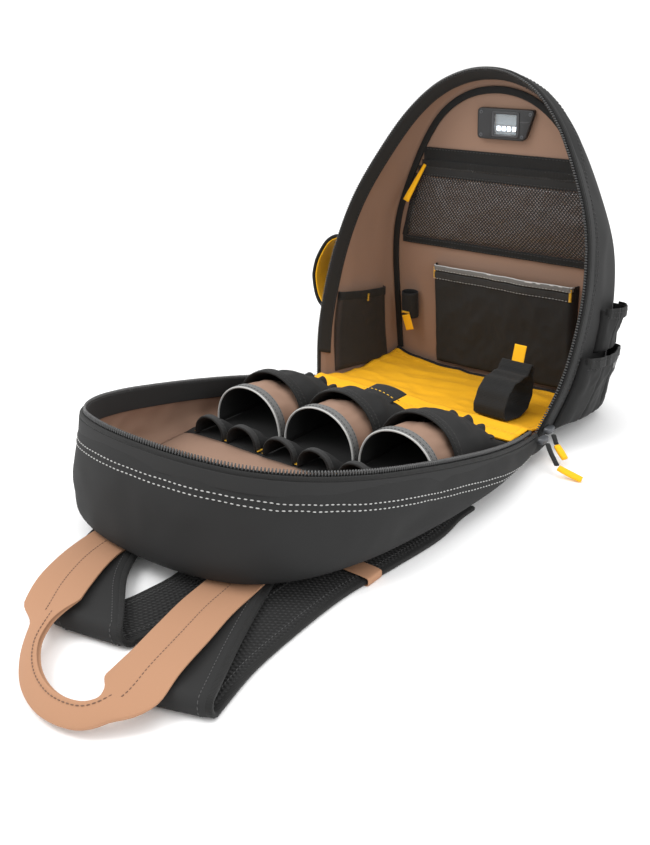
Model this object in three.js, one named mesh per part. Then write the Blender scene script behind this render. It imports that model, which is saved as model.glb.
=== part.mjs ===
// A tool backpack, opened out like a book: its harness half lies on its back with the pockets
// up, and its front half stands at the hinge with the lining towards the viewer.
// Millimetres, +Z up. X runs across the bag, -Y towards the haul handle, +Y towards the front
// half. The origin is under the middle of the whole bag, on the surface that it rests on.
import * as THREE from 'three';

// Bag body
const HINGE_HALF_WIDTH = 165;
const RIM_HALF_WIDTH = 187;
const HINGE_HEIGHT = 21.5;
const SHELL_WALL = 3;
const GAP = 0.3;
const SEAT = 0.6;
const POCKET_SEAT = 0.95;

// Lying half
const REAR_RIM_LENGTH = 480;
const REAR_RIM_TILT = 12.6;
const BACK_PANEL_LENGTH = 486;
const BACK_PANEL_HALF_WIDTH = 194;
const BACK_PANEL_HEIGHT = 16;
const REAR_WALL_BULGE = 5;

// Standing half
const BASE_DEPTH = 193.7;
const FRONT_RIM_LENGTH = 424;
const FRONT_RIM_LEAN = 11.9;
const FRONT_RIM_BOW = 7;
const FRONT_PANEL_LENGTH = 410;
const FRONT_PANEL_HALF_WIDTH = 170;
const FRONT_PANEL_LEAN = 10.5;
const FRONT_WALL_BULGE = 4;

// Zip tapes
const TAPE_DROP = 19;
const TAPE_RISE = 5;
const TAPE_THICKNESS = 1.6;

// Tool pockets in the lying half
const BOARD_THICKNESS = 8;
const BOARD_FRONT_END = 12;
const BOARD_REAR_END = 300;
const BOARD_INSET = 20;
const COLUMN_PITCH = 105;
const COLUMN_GAP = 2;
const POCKET_WALL = 1.8;
const POCKET_CLEARANCE = 0.9;
const BLACK_FOOT_Y = -54;
const TAN_FOOT_Y = -64;
const TAN_MOUTH_Y = -210;
const TAN_HEIGHT = 55;
const BLACK_MOUTH_Y = -170;
const BLACK_HEIGHT = 63;
const POCKET_END_HEIGHT = 4.3;
const SMALL_MOUTH_Y = -250;
const SMALL_FOOT_Y = -217;
const SMALL_HEIGHT = 25;
const SMALL_WIDTH = 44;
const SMALL_PITCH = 50;
const ELASTIC_LOOPS = 5;
const ELASTIC_RISE = 13;
const ELASTIC_WIDTH = 24;
const ELASTIC_THICKNESS = 1.6;
const ELASTIC_Y = -92;
const HINGE_TAB_WIDTH = 44;
const HINGE_TAB_Y = -96;

// Yellow floor
const FLOOR_THICKNESS = 2.4;
const FLOOR_HALF_WIDTH = 156;
const FLOOR_OVERHANG = 50;
const FLOOR_BINDING_SIZE = 5;

// Work light
const LIGHT_X = 14;
const LIGHT_BELOW_TOP = 52;
const LIGHT_UP = FRONT_PANEL_LENGTH - LIGHT_BELOW_TOP;
const LIGHT_WIDTH = 80;
const LIGHT_HEIGHT = 38;
const LIGHT_SLANT = 13;
const LIGHT_THICKNESS = 7;
const WINDOW_WIDTH = 32;
const WINDOW_HEIGHT = 26;
const LENS_THICKNESS = 3;

// Pockets on the front lining
const NET_BELOW_LIGHT = 74;
const NET_TOP_UP = LIGHT_UP - NET_BELOW_LIGHT;
const NET_BOTTOM_UP = 196;
const NET_TOP_HALF_WIDTH = 121;
const NET_BOTTOM_HALF_WIDTH = 147;
const NET_THICKNESS = 1.2;
const NET_STANDOFF = 8;
const NET_BAND_HEIGHT = 38;
const NET_BAND_HALF_WIDTH = 101;
const NET_BAND_THICKNESS = 3;
const NET_HEM_HEIGHT = 10;
const DOCUMENT_LEFT_X = -91;
const DOCUMENT_RIGHT_X = 123;
const DOCUMENT_BOTTOM_UP = 14;
const DOCUMENT_TOP_UP = 162;
const DOCUMENT_DEPTH = 13;
const LINING_BINDING_WIDTH = 9;
const LINING_BINDING_THICKNESS = 4;
const PEN_LOOP_X = -130;
const PEN_LOOP_UP = 97;
const PEN_LOOP_HEIGHT = 38;
const PEN_LOOP_RADIUS = 10;
const WEB_THICKNESS = 1.8;
const TAB_WIDTH = 17;
const TAB_THICKNESS = 1.2;
const TAB_LENGTH = 22;

// Holding strap on the floor
const HOLDING_STRAP_WIDTH = 44;
const HOLDING_STRAP_THICKNESS = 2.4;
const HOLDING_STRAP_HEIGHT = 60;
const HOLDING_STRAP_REACH = 70;
const HOLDING_STRAP_X = 96;
const HOLDING_STRAP_Y = 3;
const HOLDING_STRAP_TURN = -3;
const HOLDING_TAB_BACK = 0.8;
const HOLDING_TAB_LEAN = 4;

// Outside pockets
const OUTER_POCKET_WALL = 2;
const LOWER_POCKET_UP = 6;
const LOWER_POCKET_HEIGHT = 88;
const LOWER_POCKET_DEPTH = 20;
const UPPER_POCKET_HEIGHT = 52;
const UPPER_POCKET_DEPTH = 18;
const LABEL_HEIGHT = 13;
const LABEL_WIDTH = 22;
const LABEL_THICKNESS = 1.4;
const LABEL_UP = 81;
const LABEL_ALONG = 0.63;
const COVER_DEPTH = 22;
const FRONT_POCKET_DEPTH = 20;
const FRONT_POCKET_HALF_WIDTH = 132;
const FRONT_POCKET_UP = 42;
const FRONT_POCKET_HEIGHT = 206;
const SIDE_NET_DEPTH = 11;
const SIDE_NET_TOP = 112;
const SLEEVE_UP = 142;
const SLEEVE_HEIGHT = 100;
const SLEEVE_BULGE = 30;
const SLEEVE_LENGTH = 52;
const SLEEVE_THICKNESS = 2;
const SLEEVE_LINING_THICKNESS = 1;

// Harness: two layers of strap and one of handle webbing lie under the back panel
const STRAP_WIDTH = 62;
const STRAP_THICKNESS = 6.4;
const STRAP_FOLD_HEIGHT = 16;
const FOLD_STEPS = 6;
const OVER_STATIONS = 9;
const UNDER_STATIONS = 15;
const STRAP_PATCH_LENGTH = 22;
const STRAP_PATCH_THICKNESS = 1.2;
const LOWER_WEB_WIDTH = 24;
const ADJUSTER_LENGTH = 30;
const ADJUSTER_WIDTH = 36;
const ADJUSTER_THICKNESS = 4;
const ADJUSTER_OFFSET = 2;
const HANDLE_WIDTH = 50;
const HANDLE_THICKNESS = 2;
const HANDLE_RISE = 10;
const GRIP_WIDTH = 21;
const GRIP_THICKNESS = 6;
const BACK_PAD_WIDTH = 96;
const BACK_PAD_LENGTH = 130;
const BACK_PAD_Y = -250;
const LUMBAR_PAD_WIDTH = 200;
const LUMBAR_PAD_LENGTH = 104;
const LUMBAR_PAD_Y = -86;
const PAD_ROUNDING = 6;

// Zip sliders and pulls
const SLIDER_LENGTH = 15;
const SLIDER_WIDTH = 10;
const SLIDER_HEIGHT = 8;
const PULL_WIDTH = 6;
const PULL_THICKNESS = 2.4;
const GRIP_TAB_WIDTH = 9;
const GRIP_TAB_THICKNESS = 4;

const DEG = Math.PI / 180;
const ARCH_STEPS = 44;
const FOOT_STEPS = 6;
const BULGE_RUN = 60;
const BASE_UNDERSIDE = HINGE_HEIGHT - SHELL_WALL;
const BASE_SLOPE = Math.asin(BASE_UNDERSIDE / (BASE_DEPTH - 2 * SHELL_WALL));
const BOARD_TOP = BACK_PANEL_HEIGHT + SHELL_WALL + GAP + BOARD_THICKNESS;
const POCKET_FOOT = BOARD_TOP + GAP;
const LOW_STRAP = STRAP_THICKNESS / 2;
const HIGH_STRAP = BACK_PANEL_HEIGHT - 2 * GAP - HANDLE_THICKNESS - GAP - STRAP_THICKNESS / 2;
const HANDLE_UNDER = BACK_PANEL_HEIGHT - GAP - HANDLE_THICKNESS / 2;

// Half widths of the outlines, as shares of their greatest, at shares of their length
const REAR_STATIONS = [
  { along: 0, half: HINGE_HALF_WIDTH / RIM_HALF_WIDTH },
  { along: 0.15, half: 0.957 },
  { along: 0.3, half: 1 },
  { along: 0.45, half: 1 },
  { along: 0.6, half: 0.968 },
  { along: 0.75, half: 0.9 },
  { along: 0.87, half: 0.772 },
  { along: 0.95, half: 0.58 },
  { along: 0.99, half: 0.3 },
  { along: 1, half: 0 },
];
const FRONT_RIM_STATIONS = [
  { along: 0, half: HINGE_HALF_WIDTH / RIM_HALF_WIDTH },
  { along: 0.15, half: 0.967 },
  { along: 0.3, half: 0.992 },
  { along: 0.45, half: 0.972 },
  { along: 0.6, half: 0.894 },
  { along: 0.75, half: 0.734 },
  { along: 0.87, half: 0.56 },
  { along: 0.95, half: 0.37 },
  { along: 0.99, half: 0.17 },
  { along: 1, half: 0 },
];
const FRONT_PANEL_STATIONS = [
  { along: 0, half: 0.965 },
  { along: 0.27, half: 0.995 },
  { along: 0.42, half: 1 },
  { along: 0.54, half: 0.965 },
  { along: 0.67, half: 0.855 },
  { along: 0.835, half: 0.66 },
  { along: 0.92, half: 0.5 },
  { along: 0.98, half: 0.27 },
  { along: 1, half: 0 },
];
const FRONT_POCKET_STATIONS = [
  { along: 0, half: 0.94 },
  { along: 0.35, half: 1 },
  { along: 0.7, half: 0.98 },
  { along: 0.9, half: 0.8 },
  { along: 0.98, half: 0.45 },
  { along: 1, half: 0 },
];

// A shell's wall between its panel and its rim: up is a share of that way, tuck is inwards
const REAR_WALL_SECTIONS = [
  { up: 0, tuck: 14 },
  { up: 0.05, tuck: 5 },
  { up: 0.18, tuck: 0.5 },
  { up: 0.45, tuck: 0 },
  { up: 0.72, tuck: 0 },
  { up: 1, tuck: 0 },
];
const FRONT_WALL_SECTIONS = [
  { up: 0, tuck: 3 },
  { up: 0.02, tuck: 0.6 },
  { up: 0.07, tuck: 0 },
  { up: 0.4, tuck: 0 },
  { up: 0.7, tuck: 0 },
  { up: 1, tuck: 0 },
];

// A crowned cover, from its open edge to its crown: behind is a share of its depth
const CROWN_SECTIONS = [
  { behind: 0, tuck: 0 },
  { behind: 0.5, tuck: 3 },
  { behind: 0.84, tuck: 14 },
  { behind: 1, tuck: 36 },
];

// An arched pocket from its mouth to its foot
const POCKET_SECTIONS = [
  { along: 0, width: 1, height: 1 },
  { along: 0.3, width: 0.99, height: 0.93 },
  { along: 0.65, width: 0.97, height: 0.6 },
  { along: 1, width: 0.94, height: 0 },
];

// How far a wall pocket stands out along its length, and the levels of its rings
const POCKET_BULGE = [0.45, 0.85, 1, 0.85, 0.45];
const POCKET_LEVELS = [0, 0.15, 0.3, 0.45, 0.6, 0.8, 1];

// Straps: the upper run leaves the bag under its handle end, and the lower run lies on the floor.
// Each x is a share of the back panel's half width, each y a share of its length.
const RIGHT_STRAP = {
  name: 'right',
  sign: 1,
  upper: [
    { x: 0.3711, y: -0.8066 },
    { x: 0.4948, y: -0.9259 },
    { x: 0.6598, y: -1.07 },
    { x: 0.8557, y: -1.2181 },
  ],
  lower: [
    { x: 0.8557, y: -1.2099 },
    { x: 0.7938, y: -1.0905 },
    { x: 0.7577, y: -0.9465 },
    { x: 0.7474, y: -0.8025 },
    { x: 0.7835, y: -0.6584 },
    { x: 0.8093, y: -0.5144 },
    { x: 0.7835, y: -0.4218 },
    { x: 0.7835, y: -0.3621 },
  ],
};
const LEFT_STRAP = {
  name: 'left',
  sign: -1,
  upper: [
    { x: -0.3711, y: -0.8066 },
    { x: -0.299, y: -0.9259 },
    { x: -0.1134, y: -1.0535 },
    { x: 0.1856, y: -1.1728 },
  ],
  lower: [
    { x: 0.2268, y: -1.1646 },
    { x: 0.3093, y: -1.0453 },
    { x: 0.2887, y: -0.9053 },
    { x: -0.0515, y: -0.7778 },
    { x: -0.4845, y: -0.6708 },
    { x: -0.6598, y: -0.5144 },
    { x: -0.7216, y: -0.4218 },
    { x: -0.7216, y: -0.3621 },
  ],
};

// Centre line of the haul handle, in the same shares: lift is a share of its greatest rise,
// gather its share folded into a grip, roll its turn on edge
const HANDLE_LINE = [
  { x: -0.2887, y: -0.8848, lift: 0, gather: 0, roll: 0 },
  { x: -0.2577, y: -0.9835, lift: 0, gather: 0, roll: 0 },
  { x: -0.1856, y: -1.0535, lift: 0.45, gather: 0, roll: 0 },
  { x: -0.0619, y: -1.144, lift: 0.8, gather: 0.1, roll: 0 },
  { x: 0.0722, y: -1.2222, lift: 0.7, gather: 0.6, roll: 14 },
  { x: 0.1856, y: -1.2881, lift: 0.1, gather: 1, roll: 38 },
  { x: 0.3402, y: -1.3333, lift: -0.2, gather: 1, roll: 42 },
  { x: 0.5258, y: -1.3539, lift: -0.2, gather: 1, roll: 42 },
  { x: 0.6804, y: -1.3416, lift: 0, gather: 0.9, roll: 36 },
  { x: 0.7526, y: -1.2963, lift: 0.6, gather: 0.55, roll: 16 },
  { x: 0.7113, y: -1.214, lift: 1, gather: 0.15, roll: 0 },
  { x: 0.6392, y: -1.1214, lift: 0.8, gather: 0, roll: 0 },
  { x: 0.5567, y: -1.0288, lift: 0.35, gather: 0, roll: 0 },
  { x: 0.5052, y: -0.9506, lift: 0, gather: 0, roll: 0 },
  { x: 0.4742, y: -0.8848, lift: 0, gather: 0, roll: 0 },
];

// The holding strap's loop, as shares of its reach and height
const HOLDING_STRAP_LINE = [
  { back: 0.01, up: 0.07 },
  { back: 0, up: 0.27 },
  { back: 0.1, up: 0.54 },
  { back: 0.26, up: 0.72 },
  { back: 0.5, up: 0.79 },
  { back: 0.7, up: 0.86 },
  { back: 0.77, up: 1 },
  { back: 0.84, up: 1 },
  { back: 0.88, up: 0.8 },
  { back: 0.92, up: 0.55 },
  { back: 0.91, up: 0.33 },
  { back: 0.8, up: 0.1 },
  { back: 0.6, up: 0 },
  { back: 0.15, up: 0 },
];

// The zip pulls at the hinge corner: height is above the surface that the bag rests on
const PULL_LINES = [
  {
    cord: [
      { x: 188, y: -21, height: 25 },
      { x: 199, y: -33, height: 20 },
      { x: 212, y: -44, height: 13 },
    ],
    grip: [
      { x: 214.4, y: -45, height: 11 },
      { x: 228, y: -44, height: 7 },
      { x: 242, y: -42, height: 3 },
    ],
  },
  {
    cord: [{ x: 183.8, y: 3, height: 27 }, { x: 192, y: -5, height: 20 }],
    grip: [{ x: 193, y: -6, height: 18.9 }, { x: 208, y: -14, height: 9 }],
  },
];
const SLIDER_PLACES = [{ x: 179.8, y: -16, height: 26 }, { x: 175.4, y: 8, height: 30 }];

// Finishes
const FINISH = {
  black: { color: 0x1c1c1b, roughness: 0.9, metalness: 0 },
  tan: { color: 0x8f7260, roughness: 0.88, metalness: 0 },
  webbing: { color: 0xa87e60, roughness: 0.85, metalness: 0 },
  yellow: { color: 0xf5b30c, roughness: 0.75, metalness: 0 },
  grey: { color: 0x8d8f90, roughness: 0.8, metalness: 0 },
  net: { color: 0x2a2725, roughness: 0.5, metalness: 0 },
  zip: { color: 0x222222, roughness: 0.6, metalness: 0 },
  plastic: { color: 0x2a2b2c, roughness: 0.45, metalness: 0 },
  lens: { color: 0xdfe9ee, roughness: 0.1, metalness: 0 },
  metal: { color: 0x55575a, roughness: 0.3, metalness: 0.9 },
};

const bag = new THREE.Group();
const frontHalf = new THREE.Group();
const { lerp, clamp } = THREE.MathUtils;
const ACROSS = new THREE.Vector3(1, 0, 0);

// Adds one named piece to a group
function addPiece(group, name, geometry, finish) {
  const mesh = new THREE.Mesh(geometry, new THREE.MeshStandardMaterial(FINISH[finish]));
  mesh.name = name;
  group.add(mesh);
  return mesh;
}

// Triangles of a nearly flat loop, seen along its own normal
function capTriangles(loop) {
  const normal = new THREE.Vector3();
  loop.forEach((p, i) => {
    normal.add(new THREE.Vector3().crossVectors(p, loop[(i + 1) % loop.length]));
  });
  normal.normalize();
  const helper = Math.abs(normal.z) < 0.9 ? new THREE.Vector3(0, 0, 1) : ACROSS;
  const side = new THREE.Vector3().crossVectors(helper, normal).normalize();
  const over = new THREE.Vector3().crossVectors(normal, side);
  const flat = loop.map((p) => new THREE.Vector2(p.dot(side), p.dot(over)));
  return THREE.ShapeUtils.triangulateShape(flat, []);
}

// A geometry from triangles, turned so that its faces point outwards
function solidFrom(triangles) {
  const volume = triangles.reduce((sum, [a, b, c]) => (
    sum + a.dot(new THREE.Vector3().crossVectors(b, c))), 0);
  const facing = volume < 0 ? triangles.map(([a, b, c]) => [a, c, b]) : triangles;
  const geometry = new THREE.BufferGeometry();
  geometry.setFromPoints(facing.flat());
  geometry.computeVertexNormals();
  return geometry;
}

// A closed solid through equal loops of points. A ring joins its last loop to its first.
function loft(loops, ring = false) {
  const count = loops[0].length;
  const spans = ring ? loops.length : loops.length - 1;
  const triangles = [];
  for (let i = 0; i < spans; i += 1) {
    const a = loops[i];
    const b = loops[(i + 1) % loops.length];
    for (let j = 0; j < count; j += 1) {
      const k = (j + 1) % count;
      triangles.push([a[j], a[k], b[k]], [a[j], b[k], b[j]]);
    }
  }
  if (!ring) {
    const first = loops[0];
    const last = loops[loops.length - 1];
    capTriangles(first).forEach(([i, j, k]) => triangles.push([first[i], first[k], first[j]]));
    capTriangles(last).forEach(([i, j, k]) => triangles.push([last[i], last[j], last[k]]));
  }
  return solidFrom(triangles);
}

// Outline of an arched panel: up its right side, over the top, down the left and along its foot
function archOutline(halfWidth, length, stations) {
  const right = stations.map((s) => new THREE.Vector3(s.half * halfWidth, s.along * length, 0));
  const left = right.slice(0, -1).reverse().map((p) => new THREE.Vector3(-p.x, p.y, 0));
  const curve = new THREE.CatmullRomCurve3([...right, ...left], false, 'centripetal');
  const arch = curve.getSpacedPoints(ARCH_STEPS).map((p) => new THREE.Vector2(p.x, p.y));
  const foot = [];
  for (let i = 1; i < FOOT_STEPS; i += 1) {
    foot.push(new THREE.Vector2(lerp(-right[0].x, right[0].x, i / FOOT_STEPS), 0));
  }
  return [...arch, ...foot];
}

// A closed outline moved inwards by a distance, mitred at its corners
function inset(outline, distance) {
  const count = outline.length;
  return outline.map((p, i) => {
    const before = p.clone().sub(outline[(i + count - 1) % count]).normalize();
    const after = outline[(i + 1) % count].clone().sub(p).normalize();
    const a = new THREE.Vector2(-before.y, before.x);
    const b = new THREE.Vector2(-after.y, after.x);
    const share = distance / (1 + a.dot(b));
    return new THREE.Vector2(p.x + (a.x + b.x) * share, p.y + (a.y + b.y) * share);
  });
}

// One loop of a shell between its flat panel and its rim, at a depth inside its outer face
function shellLoop(shell, { up, tuck }, depth) {
  const low = inset(shell.panel, depth + tuck);
  const high = inset(shell.rim, depth + tuck);
  const swell = -shell.bulge * Math.sin(Math.PI * up);
  const lowSwollen = inset(low, swell);
  const highSwollen = inset(high, swell);
  return low.map((p, i) => {
    const share = i > ARCH_STEPS ? 0 : clamp(shell.rim[i].y / BULGE_RUN, 0, 1);
    const a = shell.placePanel(p.clone().lerp(lowSwollen[i], share), depth);
    const b = shell.placeRim(high[i].clone().lerp(highSwollen[i], share));
    return a.lerp(b, up);
  });
}

// An open tub with a wall of even thickness
function shellSolid(shell) {
  const outside = shell.sections.map((s) => shellLoop(shell, s, 0));
  const inside = shell.sections.map((s) => shellLoop(shell, s, SHELL_WALL)).reverse();
  return loft([...outside, ...inside]);
}

// The zip tape inside a shell's rim, from one hinge corner over the arch to the other
function zipTape(shell) {
  const depths = [SHELL_WALL + SEAT, SHELL_WALL + SEAT + TAPE_THICKNESS];
  const atRim = depths.map((d) => shellLoop(shell, { up: 1, tuck: 0 }, d));
  const atPanel = depths.map((d) => shellLoop(shell, { up: 0, tuck: 0 }, d));
  const loops = [];
  for (let i = 1; i < ARCH_STEPS; i += 1) {
    const fall = atPanel[0][i].clone().sub(atRim[0][i]);
    const height = fall.length();
    fall.normalize();
    const drop = Math.min(TAPE_DROP, height * 0.24);
    const [outer, inner] = atRim.map((loop) => loop[i]);
    const low = (p) => p.clone().addScaledVector(fall, drop);
    const high = (p) => p.clone().addScaledVector(fall, -TAPE_RISE);
    loops.push([high(outer), low(outer), low(inner), high(inner)]);
  }
  return loft(loops);
}

// A flat band along a path. Each station has its centre, width direction, width and thickness.
function band(stations, ring = false) {
  const count = stations.length;
  const loops = stations.map((s, i) => {
    const before = stations[ring ? (i + count - 1) % count : Math.max(i - 1, 0)].at;
    const after = stations[ring ? (i + 1) % count : Math.min(i + 1, count - 1)].at;
    const along = after.clone().sub(before).normalize();
    const side = s.side.clone();
    if (!s.skewed) side.addScaledVector(along, -side.dot(along)).normalize();
    const up = new THREE.Vector3().crossVectors(along, side).normalize();
    const corners = [[1, -1], [1, 1], [-1, 1], [-1, -1]];
    return corners.map(([x, z]) => s.at.clone()
      .addScaledVector(side, (x * s.width) / 2)
      .addScaledVector(up, (z * s.thickness) / 2));
  });
  return loft(loops, ring);
}

// A plate between two heights over a flat outline
function plate(outline, low, high) {
  return loft([low, high].map((z) => outline.map((p) => new THREE.Vector3(p.x, p.y, z))));
}

// A rounded rectangle centred on X, from y = 0 to y = depth, turning anticlockwise
function roundedSlot(width, depth, radius) {
  const corners = [
    { x: width / 2 - radius, y: radius, turn: -90 },
    { x: width / 2 - radius, y: depth - radius, turn: 0 },
    { x: -width / 2 + radius, y: depth - radius, turn: 90 },
    { x: -width / 2 + radius, y: radius, turn: 180 },
  ];
  return corners.flatMap((c) => [0, 45, 90].map((a) => new THREE.Vector2(
    c.x + radius * Math.cos((c.turn + a) * DEG),
    c.y + radius * Math.sin((c.turn + a) * DEG),
  )));
}

// Shell of the lying half: its panel is level, its rim rises towards the handle
const rearShell = {
  panel: archOutline(BACK_PANEL_HALF_WIDTH, BACK_PANEL_LENGTH, REAR_STATIONS),
  rim: archOutline(RIM_HALF_WIDTH, REAR_RIM_LENGTH, REAR_STATIONS),
  placePanel: (p, lift) => new THREE.Vector3(p.x, -p.y, BACK_PANEL_HEIGHT + lift),
  placeRim: (p) => new THREE.Vector3(
    p.x,
    -p.y * Math.cos(REAR_RIM_TILT * DEG),
    HINGE_HEIGHT + p.y * Math.sin(REAR_RIM_TILT * DEG),
  ),
  sections: REAR_WALL_SECTIONS,
  bulge: REAR_WALL_BULGE,
};

// Shell of the standing half, on its own base: y is back from the hinge, z up from the base
const frontShell = {
  panel: archOutline(FRONT_PANEL_HALF_WIDTH, FRONT_PANEL_LENGTH, FRONT_PANEL_STATIONS),
  rim: archOutline(RIM_HALF_WIDTH, FRONT_RIM_LENGTH, FRONT_RIM_STATIONS),
  placePanel: (p, lift) => new THREE.Vector3(
    p.x,
    BASE_DEPTH - p.y * Math.sin(FRONT_PANEL_LEAN * DEG) - lift * Math.cos(FRONT_PANEL_LEAN * DEG),
    p.y * Math.cos(FRONT_PANEL_LEAN * DEG) - lift * Math.sin(FRONT_PANEL_LEAN * DEG),
  ),
  placeRim: (p) => {
    const bow = FRONT_RIM_BOW * Math.sin((Math.PI * p.y) / FRONT_RIM_LENGTH);
    const sin = Math.sin(FRONT_RIM_LEAN * DEG);
    const cos = Math.cos(FRONT_RIM_LEAN * DEG);
    return new THREE.Vector3(p.x, p.y * sin + bow * cos, p.y * cos - bow * sin);
  },
  sections: FRONT_WALL_SECTIONS,
  bulge: FRONT_WALL_BULGE,
};

// A point on the front lining: x across, up along the panel, lift towards the viewer
function onLining(x, up, lift) {
  return frontShell.placePanel(new THREE.Vector2(x, up), SHELL_WALL + lift);
}
const UP_LINING = onLining(0, 1, 0).sub(onLining(0, 0, 0));

// A mesh seated on the front lining, its own +Y towards the viewer and +Z up the panel
function seatOnLining(mesh, x, up, lift) {
  mesh.position.copy(onLining(x, up, lift));
  mesh.rotation.set(FRONT_PANEL_LEAN * DEG, 0, 0);
  return mesh;
}

// A point on a side wall of the standing half: along runs from its rim to its panel
function onSideWall(sign, along, height, depth) {
  const loop = shellLoop(frontShell, { up: 1 - along, tuck: 0 }, depth);
  let i = 0;
  while (loop[i + 1].z < height) i += 1;
  const share = clamp((height - loop[i].z) / (loop[i + 1].z - loop[i].z), 0, 1);
  const p = loop[i].clone().lerp(loop[i + 1], share);
  return new THREE.Vector3(sign * p.x, p.y, height);
}

// A point on a wall pocket's outer face: share runs from its rim end to its panel end
function onWallPocket(pocket, share, height, lift) {
  const { sign, face, from, to, low, high, footDepth, mouthDepth } = pocket;
  const place = share * (POCKET_BULGE.length - 1);
  const k = Math.min(Math.floor(place), POCKET_BULGE.length - 2);
  const stand = lerp(footDepth, mouthDepth, (height - low) / (high - low))
    * lerp(POCKET_BULGE[k], POCKET_BULGE[k + 1], place - k);
  const p = onSideWall(sign, lerp(from, to, share), height, face > 0 ? 0 : SHELL_WALL);
  return p.setX(p.x + sign * face * (POCKET_SEAT + stand + pocket.wall + lift));
}

// An open pocket that follows a side wall, outside it (face 1) or inside it (face -1)
function wallPocket(pocket) {
  const { sign, face, from, to, low, high, wall } = pocket;
  const ends = POCKET_BULGE.length - 1;
  const ring = (level, inward) => {
    const height = lerp(low + inward, high, level);
    const tuck = (k) => inward * ((k === 0) - (k === ends));
    const front = POCKET_BULGE.map((unused, k) => {
      const p = onWallPocket(pocket, k / ends, height, -inward);
      return p.setY(p.y + tuck(k));
    });
    const back = POCKET_BULGE.map((unused, k) => {
      const depth = face > 0 ? 0 : SHELL_WALL;
      const p = onSideWall(sign, lerp(from, to, k / ends), height, depth);
      return p.set(p.x + sign * face * (POCKET_SEAT + inward), p.y + tuck(k), p.z);
    });
    return [...back, ...front.reverse()];
  };
  const outside = POCKET_LEVELS.map((v) => ring(v, 0));
  const inside = POCKET_LEVELS.map((v) => ring(v, wall)).reverse();
  return loft([...outside, ...inside]);
}

function buildShells() {
  addPiece(bag, 'rear_shell', shellSolid(rearShell), 'black');
  addPiece(bag, 'rear_zip_tape', zipTape(rearShell), 'zip');
  addPiece(frontHalf, 'front_shell', shellSolid(frontShell), 'black');
  addPiece(frontHalf, 'front_zip_tape', zipTape(frontShell), 'zip');
}

// A crowned cover on the outside of the front panel, open towards it
function crownedCover(outline, standing, depth) {
  const loopAt = ({ behind, tuck }, wall) => inset(outline, tuck + wall).map((p) => (
    frontShell.placePanel(p, -(standing + behind * (depth - wall)))));
  const outside = CROWN_SECTIONS.map((s) => loopAt(s, 0)).reverse();
  const inside = CROWN_SECTIONS.map((s) => loopAt(s, OUTER_POCKET_WALL));
  return loft([...outside, ...inside]);
}

// The front compartment, and the pocket that stands out from it
function buildFront() {
  const cover = inset(frontShell.panel, SHELL_WALL * 2);
  addPiece(frontHalf, 'front_cover', crownedCover(cover, GAP, COVER_DEPTH), 'black');
  const pocket = archOutline(FRONT_POCKET_HALF_WIDTH, FRONT_POCKET_HEIGHT, FRONT_POCKET_STATIONS)
    .map((p) => new THREE.Vector2(p.x, p.y + FRONT_POCKET_UP));
  const standing = COVER_DEPTH + 2 * GAP;
  addPiece(frontHalf, 'front_pocket', crownedCover(pocket, standing, FRONT_POCKET_DEPTH), 'black');
}

// The yellow floor lies on the base and runs over the hinge onto the pocket board
function buildFloor() {
  const half = FLOOR_THICKNESS / 2;
  const onBase = (y) => new THREE.Vector3(0, y, SHELL_WALL + SEAT + half)
    .applyMatrix4(frontHalf.matrix);
  const rearEnd = BASE_DEPTH - 2 * SHELL_WALL - LINING_BINDING_THICKNESS - FLOOR_BINDING_SIZE;
  const stops = [
    onBase(rearEnd),
    onBase(BASE_DEPTH / 2),
    onBase(GAP),
    new THREE.Vector3(0, -BOARD_FRONT_END / 2, BOARD_TOP + half + SEAT),
    new THREE.Vector3(0, -BOARD_FRONT_END - 6, BOARD_TOP + half + SEAT),
    new THREE.Vector3(0, -FLOOR_OVERHANG, BOARD_TOP + half + GAP),
  ];
  addPiece(bag, 'floor_panel', band(stops.map((at) => ({
    at,
    side: ACROSS,
    width: 2 * FLOOR_HALF_WIDTH,
    thickness: FLOOR_THICKNESS,
  }))), 'yellow');
  const binding = [-1, 1].map((sign) => ({
    at: new THREE.Vector3(
      sign * FLOOR_HALF_WIDTH,
      rearEnd + GAP + FLOOR_BINDING_SIZE / 2,
      SHELL_WALL + SEAT + FLOOR_BINDING_SIZE / 2,
    ),
    side: new THREE.Vector3(0, 1, 0),
    width: FLOOR_BINDING_SIZE,
    thickness: FLOOR_BINDING_SIZE,
  }));
  addPiece(frontHalf, 'floor_binding', band(binding), 'black');
}

// The padded board under the tool pockets
function buildPocketBoard() {
  const edge = inset(rearShell.panel, BOARD_INSET);
  const right = edge.slice(0, ARCH_STEPS / 2)
    .filter((p) => p.y > BOARD_FRONT_END && p.y < BOARD_REAR_END);
  const ends = [BOARD_FRONT_END, BOARD_REAR_END];
  const [near, far] = [right[0], right[right.length - 1]];
  const corners = [new THREE.Vector2(near.x, ends[0]), ...right, new THREE.Vector2(far.x, ends[1])];
  const mirrored = corners.map((p) => new THREE.Vector2(-p.x, p.y)).reverse();
  const outline = [...corners, ...mirrored].map((p) => new THREE.Vector2(p.x, -p.y));
  addPiece(bag, 'pocket_board', plate(outline, BOARD_TOP - BOARD_THICKNESS, BOARD_TOP), 'tan');
}

// Half width and height of an arched pocket at a place along it
function pocketSize(pocket, along) {
  const next = Math.max(1, POCKET_SECTIONS.findIndex((s) => s.along >= along));
  const a = POCKET_SECTIONS[next - 1];
  const b = POCKET_SECTIONS[next];
  const share = (along - a.along) / (b.along - a.along);
  return {
    half: (pocket.width / 2) * lerp(a.width, b.width, share),
    height: lerp(POCKET_END_HEIGHT, pocket.height, lerp(a.height, b.height, share)),
  };
}

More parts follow.
